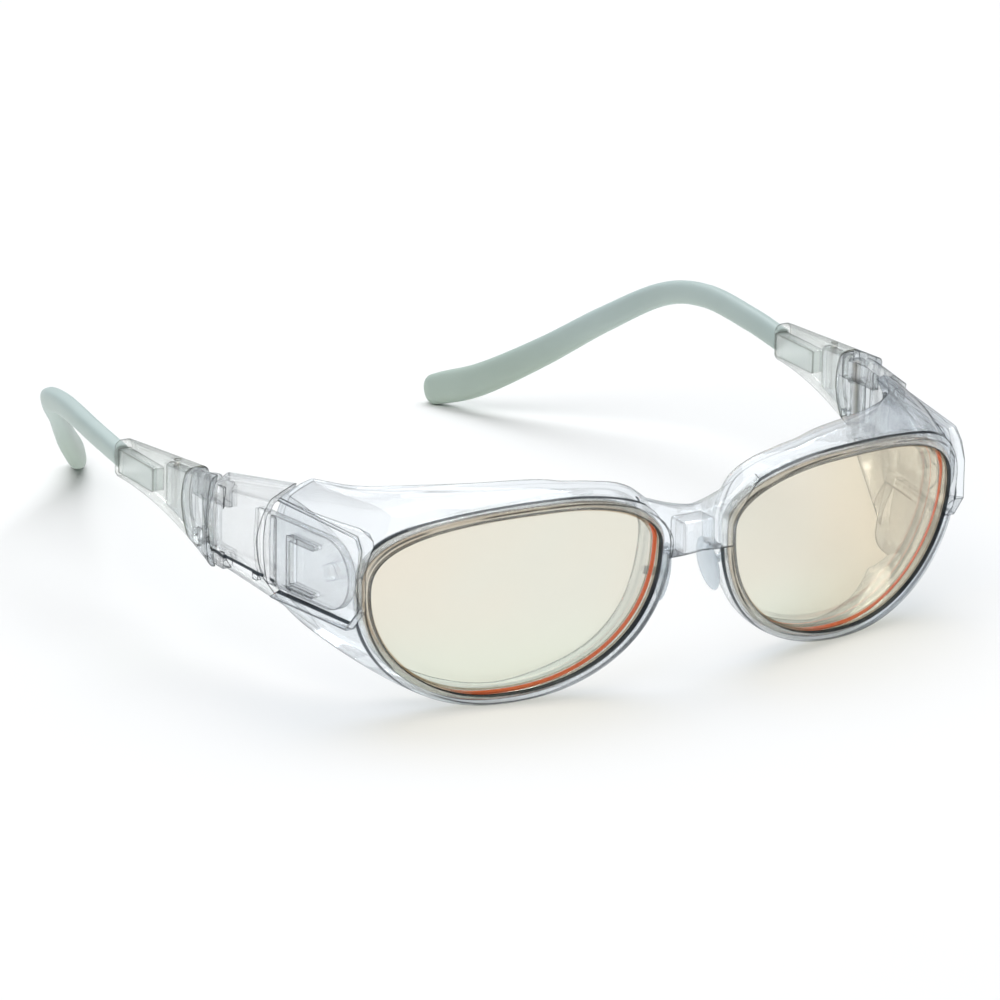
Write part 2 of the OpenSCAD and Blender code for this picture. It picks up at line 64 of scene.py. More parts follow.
# Rear edge (x, y, z) every 15 degrees, from the nose over the top
REAR = np.array([
    [7.2, -74.0, 29], [8.0, -74.5, 33.5], [10.0, -75.0, 37.6], [14.2, -75.2, 40.1],
    [20.0, -74.6, 41.3], [25.5, -73.8, 42.0], [31.0, -72.6, 42.8], [42.0, -69.5, 43.0],
    [50.5, -64.8, 42.6], [58.5, -55.5, 41.0], [64.8, -43.5, 40.2], [69.0, -39.2, 36.4],
    [70.4, -38.2, 28.5], [70.0, -38.6, 21.4], [66.6, -41.0, 15.6], [61.8, -48.0, 10.8],
    [55.2, -57.5, 6.4], [47.8, -63.0, 2.9], [39.5, -66.2, 1.0], [32.0, -68.6, 1.5],
    [22.6, -70.6, 4.4], [15.6, -71.8, 8.4], [10.8, -72.8, 14.2], [8.2, -73.5, 21.2]])
# Bead width every 30 degrees
RIM_WIDTH = np.array([2.6, 2.6, 2.3, 2.3, 2.3, 2.9, 2.6, 2.6, 2.4, 2.2, 2.2, 2.4])
# Bead profile: share of the bead width, distance behind the front sphere; the ends only steer
BEAD_PROFILE = np.array([(-0.12, -0.1), (0.0, -0.95), (0.22, -0.8 * BEAD), (0.55, -BEAD),
                         (0.85, -0.72 * BEAD), (1.0, -0.5), (1.02, 0.6)])

# Side joint: its tilt axis runs through SIDE_ORIGIN, square to the side wall
SIDE_ORIGIN, SIDE_ANGLE = np.array([67.55, -60.5, 27.0]), math.radians(7.8)
SEAM_FRONT_R, SEAM_ADAPTER_R = 18.2, 18.5  # the two sides of the seam round the tilt axis
ADAPTER_REACH = 32.0                       # outer radius of the adapter about the tilt axis
SEAT_BACK = -3.9                           # inner face of the seat, along the tilt axis

# Fold joint: an upright pin at FOLD (x, y), with the knuckle's bar between two lugs
FOLD = np.array([71.35, -26.0])
LUG_Z, BAR_Z, BAR_R, BAR_GAP = (20.4, 36.2), (23.7, 32.0), 1.7, 0.15
NOSE_R = 6.9                               # round nose of the adapter tongue
LOCK_XY = (73.0, -15.6)                    # upright pin through sleeve and knuckle
TONGUE_X = 73.5                            # middle of the flat core tongue

# Outer wall of the adapter shell (x, z), bottom to top, at its front and rear ends
SHELL_FRONT = np.array([[61.4, 10.9], [65.8, 14.8], [69.0, 20.9], [69.8, 28], [68.7, 37.2],
                        [64.6, 40.5]])
SHELL_REAR = np.array([[69.4, 19.6], [72.2, 20.3], [74.0, 23.4], [74.5, 29], [73.8, 36.5],
                       [71.2, 38.0]])

# Temple centre line (x, y, z) from the sleeve to the tip
ARM = np.array([[73.8, 4.3, 31.3], [73.5, 15.2, 32.6], [72.2, 29.4, 33.6], [69.4, 41.2, 31.1],
                [62.2, 51.8, 23.9], [54.7, 62.7, 15.2], [46.8, 73.6, 7.5], [41.6, 82.6, 3.63]])
ARM_END = len(ARM) - 1
CORE_END = 5.2                             # where the bore for the core ends, in ARM stations


# ------------------------------- curves --------------------------------------
def outline(angle):
    """Lens outline (x, z) at angles in degrees: 0 at the nose, 90 at the top."""
    angle = np.asarray(angle, float) % 360.0
    out = np.zeros(angle.shape + (2,))
    for q in range(4):
        start, end = EXTREMES[q], EXTREMES[(q + 1) % 4]
        centre = np.array([end[0], start[1]] if q % 2 == 0 else [start[0], end[1]])
        here = (angle >= 90 * q) & (angle < 90 * (q + 1))
        turn = np.radians(angle[here]) - q * math.pi / 2
        cos, sin = (np.power(np.maximum(c, 0.0), 2.0 / POWERS[q])[:, None]
                    for c in (np.cos(turn), np.sin(turn)))
        out[here] = centre + (start - centre) * cos + (end - centre) * sin
    return out


def outline_normal(angle):
    along = outline(np.asarray(angle) + 1.5) - outline(np.asarray(angle) - 1.5)
    length = np.linalg.norm(along, axis=-1, keepdims=True)
    return np.stack([-along[..., 1], along[..., 0]], -1) / length


def grown_outline(count, out):
    """The outline moved outwards by `out`, as `count` points."""
    angle = np.arange(count) * 360.0 / count
    return outline(angle) + out * outline_normal(angle)


def sphere_y(p, inset=0.0):
    """y of the lens's front sphere at (x, z), or of a sphere `inset` smaller."""
    return SPHERE[1] - np.sqrt((LENS_R - inset) ** 2 - (p[..., 0] - SPHERE[0]) ** 2
                               - (p[..., 1] - SPHERE[2]) ** 2)


def spline(a, b, c, d, t):
    """Catmull-Rom curve from b to c."""
    return 0.5 * (2 * b + (c - a) * t + (2 * a - 5 * b + 4 * c - d) * t * t
                  + (3 * b - a - 3 * c + d) * t ** 3)


def loop_at(points, s):
    """Point at station s of a closed curve."""
    n = len(points)
    i = math.floor(s)
    return spline(*(points[(i + k) % n] for k in (-1, 0, 1, 2)), s - i)


def line_at(points, s):
    """Point at station s of an open curve."""
    n = len(points)
    i = min(max(int(math.floor(s)), 0), n - 2)
    before = points[i - 1] if i > 0 else 2 * points[0] - points[1]
    after = points[i + 2] if i + 2 < n else 2 * points[n - 1] - points[n - 2]
    return spline(before, points[i], points[i + 1], after, s - i)


# ------------------------------- polygons ------------------------------------
def round_poly(poly, radii, steps):
    """Rounds polygon corners; radii is one radius, or one for each corner."""
    poly = np.asarray(poly, float)
    n = len(poly)
    radii = np.full(n, radii) if np.isscalar(radii) else np.asarray(radii, float)
    out = []
    for i in range(n):
        before, corner, after = poly[i - 1], poly[i], poly[(i + 1) % n]
        back, ahead = before - corner, after - corner
        len_back, len_ahead = np.linalg.norm(back), np.linalg.norm(ahead)
        back, ahead = back / len_back, ahead / len_ahead
        angle = math.acos(np.clip(back @ ahead, -1, 1))
        if radii[i] <= 0:
            out.append(corner)
            continue
        if angle > math.pi - 0.03:
            # nearly straight: only spread points along the two edges
            reach = min(radii[i], 0.3 * len_back, 0.3 * len_ahead)
            for k in range(steps + 1):
                t = 2.0 * k / steps - 1
                out.append(corner + (back * reach * -t if t < 0 else ahead * reach * t))
            continue
        reach = min(radii[i] / math.tan(angle / 2), 0.48 * len_back, 0.48 * len_ahead)
        radius = reach * math.tan(angle / 2)
        middle = (back + ahead) / np.linalg.norm(back + ahead)
        centre = corner + middle * radius / math.sin(angle / 2)
        p0, p1 = corner + back * reach - centre, corner + ahead * reach - centre
        first = math.atan2(p0[1], p0[0])
        last = math.atan2(p1[1], p1[0])
        sweep = (last - first + math.pi) % (2 * math.pi) - math.pi
        for k in range(steps + 1):
            t = first + sweep * k / steps
            out.append(centre + radius * np.array([math.cos(t), math.sin(t)]))
    return np.array(out)


def round_rect(u0, v0, u1, v1, radius, steps=3):
    return round_poly([[u0, v0], [u1, v0], [u1, v1], [u0, v1]], radius, steps)


def inset_poly(poly, distance):
    """Moves a polygon's edges inwards, keeping its point count."""
    n = len(poly)
    area = sum(poly[i - 1][0] * poly[i][1] - poly[i][0] * poly[i - 1][1] for i in range(n))
    sign = 1.0 if area > 0 else -1.0
    out = np.zeros_like(poly)
    for i in range(n):
        e0, e1 = poly[i] - poly[i - 1], poly[(i + 1) % n] - poly[i]
        e0, e1 = e0 / max(np.linalg.norm(e0), 1e-9), e1 / max(np.linalg.norm(e1), 1e-9)
        n0, n1 = sign * np.array([-e0[1], e0[0]]), sign * np.array([-e1[1], e1[0]])
        both = n0 + n1
        length = np.linalg.norm(both)
        both = both / length if length > 1e-6 else n0
        out[i] = poly[i] + both * distance / max(both @ n0, 0.5)
    return out


def xz_section(poly, y):
    return np.column_stack([poly[:, 0], np.full(len(poly), y), poly[:, 1]])


def yz_section(poly, x):
    return np.column_stack([np.full(len(poly), x), poly])


def quarter_round(radius):
    """Rounded edge as (back from the end, in from the side) steps; one plain step if radius is 0."""
    if radius <= 0:
        return [(0.0, 0.0)]
    turns = [math.pi / 2 * k / 3 for k in range(4)]
    return [(radius * (1 - math.sin(t)), radius * (1 - math.cos(t))) for t in turns]


def circle(count):
    return np.linspace(0, 2 * math.pi, count, endpoint=False)


# ------------------------------- local frames --------------------------------
def side(p):
    """Side-wall coordinates (out, rearward, up) to the lens frame."""
    p = np.asarray(p, float)
    c, s = math.cos(SIDE_ANGLE), math.sin(SIDE_ANGLE)
    return np.stack([SIDE_ORIGIN[0] + c * p[..., 0] + s * p[..., 1],
                     SIDE_ORIGIN[1] - s * p[..., 0] + c * p[..., 1],
                     SIDE_ORIGIN[2] + p[..., 2]], -1)


def lean_place(p):
    """Frame of the upper part of the seat, which leans inwards."""
    lean = math.radians(11.5)
    c, s = math.cos(lean), math.sin(lean)
    return side(np.stack([0.25 + c * p[..., 0] - s * p[..., 2], p[..., 1],
                          2.4 + s * p[..., 0] + c * p[..., 2]], -1))


def pad_place(p):
    """Nose pad coordinates (out towards the frame, rearward, up) to the lens frame."""
    p = np.asarray(p, float)
    turn, lean = math.radians(12), math.radians(-11)
    ct, st, cl, sl = math.cos(turn), math.sin(turn), math.cos(lean), math.sin(lean)
    x = ct * p[..., 0] - st * p[..., 1]
    y = st * p[..., 0] + ct * p[..., 1]
    z = p[..., 2]
    return np.stack([cl * x + sl * z + 6.35, y - 76.6, -sl * x + cl * z + 22.0], -1)


# ------------------------------- mesh helpers --------------------------------
def part(verts, faces):
    """A working object with welded vertices and outward normals."""
    mesh = bpy.data.meshes.new("part")
    mesh.from_pydata([tuple(v) for v in np.asarray(verts, float)], [], [tuple(f) for f in faces])
    mesh.validate()
    bm = bmesh.new()
    bm.from_mesh(mesh)
    bmesh.ops.remove_doubles(bm, verts=bm.verts, dist=1e-5)
    bmesh.ops.recalc_face_normals(bm, faces=bm.faces)
    bm.to_mesh(mesh)
    bm.free()
    o = bpy.data.objects.new("part", mesh)
    bpy.context.scene.collection.objects.link(o)
    return o


def bands(rows, around, start=0, closed=False):
    """Quads between rows of `around` vertices, the first row beginning at vertex `start`."""
    faces = []
    for i in range(rows if closed else rows - 1):
        a, b = start + i * around, start + (i + 1) % rows * around
        faces += [(a + j, a + (j + 1) % around, b + (j + 1) % around, b + j)
                  for j in range(around)]
    return faces


def fan(tip, start, around, flip=False):
    """Triangles from one vertex to the row beginning at vertex `start`."""
    pairs = [(start + j, start + (j + 1) % around) for j in range(around)]
    return [(tip, b, a) if flip else (tip, a, b) for a, b in pairs]


def loft(sections, closed=False):
    """Skin over closed sections, joined into a ring or capped by flat ends."""
    sections = np.asarray(sections, float)
    n, m = sections.shape[:2]
    faces = bands(n, m, closed=closed)
    if not closed:
        faces.append(tuple(range(m - 1, -1, -1)))
        faces.append(tuple((n - 1) * m + j for j in range(m)))
    return part(sections.reshape(-1, 3), faces)


def coordinates(mesh):
    co = np.zeros(len(mesh.vertices) * 3)
    mesh.vertices.foreach_get("co", co)
    return co.reshape(-1, 3)


def take(o):
    """Removes a working object and returns its vertices and faces."""
    shape = coordinates(o.data), [tuple(p.vertices) for p in o.data.polygons]
    bpy.data.objects.remove(o)
    return shape


def mirrored(verts, faces):
    return verts * FLIP_X, [tuple(reversed(f)) for f in faces]


def combine(base, tools, operation):
    """Applies boolean tools to base one after another."""
    for tool in tools:
        # the exact solver steps in where the manifold one fails or changes nothing
        for solver in ("MANIFOLD", "EXACT"):
            modifier = base.modifiers.new("combine", "BOOLEAN")
            modifier.operation = operation
            modifier.object = tool
            modifier.solver = solver
            bpy.context.view_layer.update()
            depsgraph = bpy.context.evaluated_depsgraph_get()
            mesh = bpy.data.meshes.new_from_object(base.evaluated_get(depsgraph))
            base.modifiers.clear()
            same = (len(mesh.polygons) == len(base.data.polygons)
                    and len(mesh.vertices) == len(base.data.vertices))
            if len(mesh.polygons) > 0 and not same:
                break
        base.data = mesh
        bpy.data.objects.remove(tool)
    return base


def cut(base, *tools):
    return combine(base, tools, "DIFFERENCE")


def union(base, *tools):
    return combine(base, tools, "UNION")


def intersect(base, *tools):
    return combine(base, tools, "INTERSECT")


# ------------------------------- solids --------------------------------------
def plate(poly, x0, x1, top=0.0, bottom=0.0, place=side):
    """Polygon (y, z) extruded from x0 to x1, its edges rounded by `top` at x1, `bottom` at x0."""
    rows = [(x0 + x, inset) for inset, x in quarter_round(bottom)]
    rows += [(x1 - x, inset) for x, inset in quarter_round(top)]
    return loft(place(np.array([yz_section(inset_poly(poly, inset), x) for x, inset in rows])))


def lathe(profile, start, axis, around=64):
    """Turned part: profile is (along, radius) pairs."""
    axis = axis / np.linalg.norm(axis)
    a = np.cross(axis, [0.3, 0.2, 1.0] if abs(axis[2]) < 0.9 else [1.0, 0, 0])
    a /= np.linalg.norm(a)
    b = np.cross(axis, a)
    th = circle(around)
    rim = np.cos(th)[:, None] * a + np.sin(th)[:, None] * b
    return loft([np.asarray(start) + axis * t + r * rim for t, r in profile])


def cylinder(start, end, radius, around=64, edge=0.0):
    """Cylinder with ends rounded by `edge`."""
    axis = np.asarray(end, float) - np.asarray(start, float)
    length = np.linalg.norm(axis)
    steps = quarter_round(edge)
    profile = [(back, radius - inset) for back, inset in reversed(steps)]
    profile += [(length - back, radius - inset) for back, inset in steps]
    return lathe(profile, start, axis, around)


def tilt_disc(radius):
    return cylinder(side([-45, 0, 0]), side([45, 0, 0]), radius, 260)


def fold_cylinder(radius, z0, z1, around=64, edge=0.0):
    return cylinder([*FOLD, z0], [*FOLD, z1], radius, around, edge)


def crosswise_cylinder(radius):
    """Cylinder along x that gives the knuckle's band and the sleeve their curved front ends."""
    return cylinder([55, -31.3, 30.3], [95, -31.3, 30.3], radius, 200)


def lock_hole():
    return cylinder([*LOCK_XY, 26], [*LOCK_XY, 46], 0.6, 32)


def box(lo, hi, place=np.asarray):
    verts = np.array([[x, y, z] for x in (lo[0], hi[0]) for y in (lo[1], hi[1])
                      for z in (lo[2], hi[2])], float)
    return part(place(verts), [(0, 1, 3, 2), (4, 6, 7, 5), (0, 4, 5, 1), (2, 3, 7, 6),
                               (0, 2, 6, 4), (1, 5, 7, 3)])


def beyond_adapter():
    """Thick ring about the tilt axis, outside the adapter's reach."""
    r0, r1, half = ADAPTER_REACH, 80, 45.0
    th = circle(220)
    rows = [[[-half, r0 * c, r0 * s], [half, r0 * c, r0 * s],
             [half, r1 * c, r1 * s], [-half, r1 * c, r1 * s]]
            for c, s in zip(np.cos(th), np.sin(th))]
    return loft(side(np.array(rows)), closed=True)


def lens_prism(out, y0, y1):
    """The lens outline, grown by `out`, extruded along y."""
    poly = grown_outline(180, out)
    return loft([xz_section(poly, y) for y in (y0, y1)])


def sphere_cap(radius):
    """The part of the lens sphere that faces forward, closed behind."""
    n, m = 60, 120
    ph = circle(m)
    rows = []
    for i in range(1, n + 1):
        th = math.radians(58.0) * i / n
        rows.append(SPHERE + radius * np.stack([np.sin(th) * np.cos(ph), np.full(m, -math.cos(th)),
                                                np.sin(th) * np.sin(ph)], -1))
    verts = np.concatenate([np.array(rows).reshape(-1, 3), [SPHERE + [0, -radius, 0]]])
    faces = bands(n, m) + fan(n * m, 0, m, flip=True)
    faces.append(tuple((n - 1) * m + j for j in range(m)))
    return part(verts, faces)


# ------------------------------- finishing -----------------------------------
def finish(name, mesh, bm, material, body, node, angle):
    limit = math.radians(angle)
    for face in bm.faces:
        face.smooth = True
    for edge in bm.edges:
        edge.smooth = not (len(edge.link_faces) == 2 and edge.calc_face_angle(0.0) > limit)
    bm.to_mesh(mesh)
    bm.free()
    o = bpy.data.objects.new(name, mesh)
    bpy.context.scene.collection.objects.link(o)
    mesh.materials.append(material)
    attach(o, body)
    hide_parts(node)
    return o


def put(name, shape, sign, material, body, node, angle):
    """Makes the finished piece in metres; sign is -1 for the mirrored right side."""
    verts, faces = shape
    verts = verts + HOME
    if sign < 0:
        verts, faces = mirrored(verts, faces)
    mesh = bpy.data.meshes.new(name)
    mesh.from_pydata([tuple(p) for p in verts / 1000.0], [], faces)
    mesh.validate()
    bm = bmesh.new()
    bm.from_mesh(mesh)
    bmesh.ops.remove_doubles(bm, verts=bm.verts, dist=2e-6)
    bmesh.ops.dissolve_degenerate(bm, edges=bm.edges, dist=1e-6)
    return finish(name, mesh, bm, material, body, node, angle)


# ------------------------------- node graphs ---------------------------------
class Graph:
    """The node tree of a material or of the world."""

    def __init__(self, owner, output="OutputMaterial"):
        self.owner = owner
        owner.use_nodes = True
        self.tree = owner.node_tree
        self.tree.nodes.clear()
        self.output = self.node(output)

    @cached_property
    def coords(self):
        return self.node("TexCoord").outputs

    @cached_property
    def geometry(self):
        return self.node("NewGeometry").outputs

    def node(self, kind, inputs=None, **settings):
        """Adds a node. An input that is a socket is linked, None is left alone."""
        node = self.tree.nodes.new("ShaderNode" + kind)
        for key, value in settings.items():
            setattr(node, key, value)
        for key, value in (inputs or {}).items():
            socket = node.inputs[key]
            if isinstance(value, bpy.types.NodeSocket):
                self.tree.links.new(value, socket)
            elif value is not None:
                socket.default_value = (*value, 1) if socket.type == "RGBA" else value
        return node

    def out(self, kind, inputs=None, pick=0, **settings):
        return self.node(kind, inputs, **settings).outputs[pick]

    def math(self, operation, *values, clamp=False):
        return self.out("Math", dict(enumerate(values)), operation=operation, use_clamp=clamp)

    def vector(self, operation, *values, pick=0):
        return self.out("VectorMath", dict(enumerate(values)), pick, operation=operation)

    def dot(self, a, b):
        return self.vector("DOT_PRODUCT", a, b, pick="Value")

    def product(self, first, *others):
        for other in others:
            first = self.math("MULTIPLY", first, other)
        return first

    def axes(self, vector):
        return self.node("SeparateXYZ", {0: vector}).outputs

    def attribute(self, name, pick="Fac"):
        return self.out("Attribute", pick=pick, attribute_name=name)

    def noise(self, scale, detail=3.0, rough=0.5, stretch=None):
        place = self.coords["Object"]
        if stretch is not None:
            place = self.out("Mapping", {"Vector": place, "Scale": stretch})
        return self.out("TexNoise", {"Vector": place, "Scale": scale, "Detail": detail,
                                     "Roughness": rough})

    def ramp(self, factor, stops):
        """Colour ramp through (position, colour) stops."""
        node = self.node("ValToRGB", {"Fac": factor})
        elements = node.color_ramp.elements
        while len(elements) > 1:
            elements.remove(elements[-1])
        elements[0].position, elements[0].color = stops[0][0], (*stops[0][1], 1)
        for position, colour in stops[1:]:
            elements.new(position).color = (*colour, 1)
        return node.outputs["Color"]

    def spread(self, factor, low, high):
        """Maps 0..1 to low..high."""
        return self.out("MapRange", {"Value": factor, "To Min": low, "To Max": high})

    def fade(self, value, start, end, low=0.0, high=1.0):
        """`low` before start, `high` past end, a soft step between."""
        return self.out("MapRange", {"Value": value, "From Min": start, "From Max": end,
                                     "To Min": low, "To Max": high},
                        interpolation_type="SMOOTHSTEP")

    def window(self, value, rise, fall):
        """Two factors whose product is 1 between the rise and the fall."""
        return self.fade(value, *rise), self.fade(value, *fall)

    def blend(self, factor, a, b, how="MIX"):
        return self.out("Mix", {0: factor, 6: a, 7: b}, pick=2, data_type="RGBA", blend_type=how)

    def mix(self, factor, a, b):
        return self.out("MixShader", {0: factor, 1: a, 2: b})

    def bump(self, height, strength, distance, normal=None):
        return self.out("Bump", {"Height": height, "Strength": strength, "Distance": distance,
                                 "Normal": normal})

    def coated(self, tint, ior, limit, rough, colour, normal=None):
        """Tinted pass-through body under a gloss that grows at grazing angles up to `limit`."""
        body = self.out("BsdfTransparent", {"Color": tint})
        gloss = self.out("BsdfGlossy", {"Roughness": rough, "Color": colour, "Normal": normal})
        fresnel = self.out("Fresnel", {"IOR": ior, "Normal": normal})
        return self.mix(self.math("MINIMUM", fresnel, limit), body, gloss)

    def scatter(self, colour, first, second):
        """Even mix of two scattering shaders of one colour."""
        return self.mix(0.5, self.out(first, {"Color": colour}), self.out(second, {"Color": colour}))

    def done(self, shader):
        self.tree.links.new(shader, self.output.inputs["Surface"])
        return self.owner

    def done_clear(self, shader, shadow):
        """Shadow rays pass through, tinted, so a clear piece throws only a faint shadow."""
        is_shadow = self.out("LightPath", pick="Is Shadow Ray")
        return self.done(self.mix(is_shadow, shader,
                                  self.out("BsdfTransparent", {"Color": shadow})))


def new_material(name):
    return Graph(bpy.data.materials.new(name))


# ------------------------------- clear plastics ------------------------------
def clear_plastic(name, low, high, shadow, dark=(0.03, 0.04, 0.05), glass=0.50, ior=1.36,
                  rough=0.003, gloss_limit=0.30, edge=(0.60, 0.94), depth=0.94, crease=1.0,
                  line=0.00030, haze=0.0, haze_colour=None, painted_lines=None, calm=None):
    """Moulded clear plastic. A thin tinted pass-through body keeps it clean and pale, real
    refraction adds the sparkle, and creases and faces seen edge-on get painted shade, dark
    lines painted into the tint where thick plastic shows dark lines by refraction.

    low, high: body tint, drifting between the two    shadow: tint of the shadow
    dark: colour of the painted dark lines            glass: share of real refraction
    edge, depth: facing range and amount of the painted darkening edge-on
    crease, line: amount and width (m) of the painted dark crease lines
    haze: share of scattering    marks: extra painted dark lines    calm: factor that quiets the lines
    """
    m = new_material(name)
    colour = m.ramp(m.noise(70.0, detail=2.0), [(0.3, low), (0.7, high)])
    flow = m.noise(120.0, rough=0.55, stretch=(1.0, 0.3, 1.6))
    fine = m.noise(2600.0, detail=2.0)
    bevel = m.out("Bevel", {"Radius": line}, samples=6)
    # painted shade: creases found through the bevel normal darken the tint
    crease_fac = m.fade(m.dot(bevel, m.geometry["Normal"]), start=0.992, end=0.970, high=crease)
    normal = m.bump(flow, strength=0.007, distance=0.0004, normal=bevel)
    normal = m.bump(fine, strength=0.005, distance=0.00003, normal=normal)
    # painted shade: faces seen edge-on darken the tint
    facing = m.out("LayerWeight", {"Blend": 0.5}, pick="Facing")
    dark_fac = m.math("MAXIMUM", crease_fac, m.fade(facing, *edge, high=depth))
    if calm is not None:
        dark_fac = m.product(dark_fac, calm(m))
    if painted_lines is not None:
        dark_fac = m.math("MAXIMUM", dark_fac, painted_lines(m))
    tint = m.blend(dark_fac, colour, dark)
    thin = m.coated(tint, ior, gloss_limit, rough, colour=(0.96, 0.98, 1.0), normal=normal)
    thick = m.out("BsdfGlass", {"IOR": ior, "Color": tint, "Normal": normal,
                                "Roughness": m.spread(fine, rough * 0.4, rough * 1.6)})
    shader = m.mix(glass, thin, thick)
    if haze > 0:
        shader = m.mix(haze, shader, m.scatter(haze_colour, "BsdfTranslucent", "BsdfDiffuse"))
    return m.done_clear(shader, shadow)


def folded(m):
    """Object coordinates with x taken on one side."""
    x, y, z = m.axes(m.coords["Object"])
    return m.math("ABSOLUTE", x), y, z


def frame_painted_lines(m):
    """Painted dark lines of the front: painted shade on the pocket sill and the underside of the
    bridge, and lines along each rim.
    """
    x, y, z = folded(m)
    upright = m.math("ABSOLUTE", m.axes(m.geometry["Normal"])[2])
    # painted shade on the thick sill below the side pocket, bounded outwards along the side wall's
    # direction
    outward = m.dot(m.out("CombineXYZ", {0: x, 1: y}), (0.9907, -0.1357, 0.0))
    sill = m.product(m.fade(upright, start=0.5, end=0.75),
                     *m.window(z, rise=(0.0166, 0.0169), fall=(0.0186, 0.0183)),
                     m.fade(x, start=0.061, end=0.0625), m.fade(y, start=-0.041, end=-0.0425),
                     m.fade(outward, start=0.07412, end=0.07392))
    # painted shade on the underside of the bridge, seen through it
    under = m.product(m.fade(upright, start=0.35, end=0.70), m.fade(x, start=0.0082, end=0.0066),
                      *m.window(z, rise=(0.0225, 0.0235), fall=(0.0272, 0.0263)),
                      m.fade(m.noise(160.0, detail=2.0, rough=0.6), start=0.30, end=0.58))
    # painted dark lines that follow each rim, standing in for the bead's refraction: lip of the lens
    # opening, crest and foot of the bead
    out, share, behind = (m.attribute(name) for name in ("rim_u", "rim_k", "rim_d"))
    near_front = m.product(m.fade(behind, start=0.55, end=0.25),
                           m.fade(behind, start=-2.6, end=-2.3))
    lip = m.product(*m.window(out, rise=(-0.16, -0.08), fall=(0.26, 0.16)), near_front)
    waver = m.noise(55.0, detail=2.0, rough=0.6)
    crest = m.product(*m.window(share, rise=(0.50, 0.56), fall=(0.68, 0.62)),
                      m.fade(waver, start=0.42, end=0.56), near_front)
    foot = m.product(*m.window(share, rise=(0.93, 0.97), fall=(1.07, 1.03)),
                     m.fade(behind, start=0.35, end=0.1), m.fade(behind, start=-1.2, end=-0.9))
    # each painted line and its darkness, added to the painted sill shade
    total = sill
    for mark, amount, clamp in ((crest, 0.80, False), (foot, 0.95, False),
                                (lip, 0.97, True), (under, 0.70, True)):
        total = m.math("MULTIPLY_ADD", mark, amount, total, clamp=clamp)
    return total


def behind_lens(m):
    """The painted dark lines on edges behind the lens, seen through it, stay faint."""
    out, behind = m.attribute("rim_u"), m.attribute("rim_d")
    hidden = m.product(m.fade(behind, start=0.6, end=1.0), m.fade(out, start=4.2, end=3.0))
    return m.math("MULTIPLY_ADD", hidden, -0.72, 1.0)


def adapter_crease(m):
    """Painted shade: a thin dark line where the lower cheek of the side piece turns under."""
    place = m.out("CombineXYZ", dict(enumerate(folded(m))))
    front, rear = Vector((0.0690, -0.05095, 0.02028)), Vector((0.0740, -0.02905, 0.02278))
    line = rear - front
    offset = m.vector("SUBTRACT", place, front)
    along = m.out("Clamp", {0: m.dot(offset, line / line.length_squared)})
    nearest = m.out("VectorMath", {0: line, "Scale": along}, operation="SCALE")
    distance = m.vector("LENGTH", m.vector("SUBTRACT", offset, nearest), pick="Value")
    return m.fade(distance, start=0.00055, end=0.00030)


M_FRAME = clear_plastic(
    "clear_polycarbonate", low=(0.952, 0.970, 0.986), high=(0.969, 0.983, 0.994),
    shadow=(0.95, 0.965, 0.975), glass=0.28, edge=(0.74, 0.975), depth=0.85,
    painted_lines=frame_painted_lines, calm=behind_lens)
M_ADAPTER = clear_plastic(
    "clear_polycarbonate_adapter", low=(0.972, 0.982, 0.985), high=(0.984, 0.990, 0.992),
    shadow=(0.96, 0.97, 0.98), glass=0.40, edge=(0.74, 0.975), painted_lines=adapter_crease)
M_KNUCKLE = clear_plastic(
    "clear_polycarbonate_knuckle", low=(0.945, 0.962, 0.972), high=(0.968, 0.98, 0.985),
    shadow=(0.955, 0.965, 0.975), edge=(0.70, 0.96))
M_RIVET = clear_plastic(
    "clear_rivet", low=(0.985, 0.99, 0.993), high=(0.992, 0.995, 0.997),
    shadow=(0.99, 0.993, 0.995), dark=(0.6, 0.63, 0.66), glass=0.0, gloss_limit=0.06,
    depth=0.5, crease=0.4, line=0.0001)
M_SLEEVE = clear_plastic(
    "smoky_sleeve", low=(0.974, 0.981, 0.970), high=(0.986, 0.990, 0.982),
    shadow=(0.90, 0.92, 0.90), dark=(0.07, 0.08, 0.04), glass=0.18, edge=(0.74, 0.96),
    line=0.00042, haze=0.03, haze_colour=(0.84, 0.87, 0.84))
M_PAD = clear_plastic(
    "silicone_pad", low=(0.88, 0.92, 0.945), high=(0.93, 0.955, 0.97),
    shadow=(0.9, 0.92, 0.94), dark=(0.6, 0.65, 0.68), glass=0.2, ior=1.41, rough=0.10,
    crease=0.1, haze=0.30, haze_colour=(0.86, 0.90, 0.93))


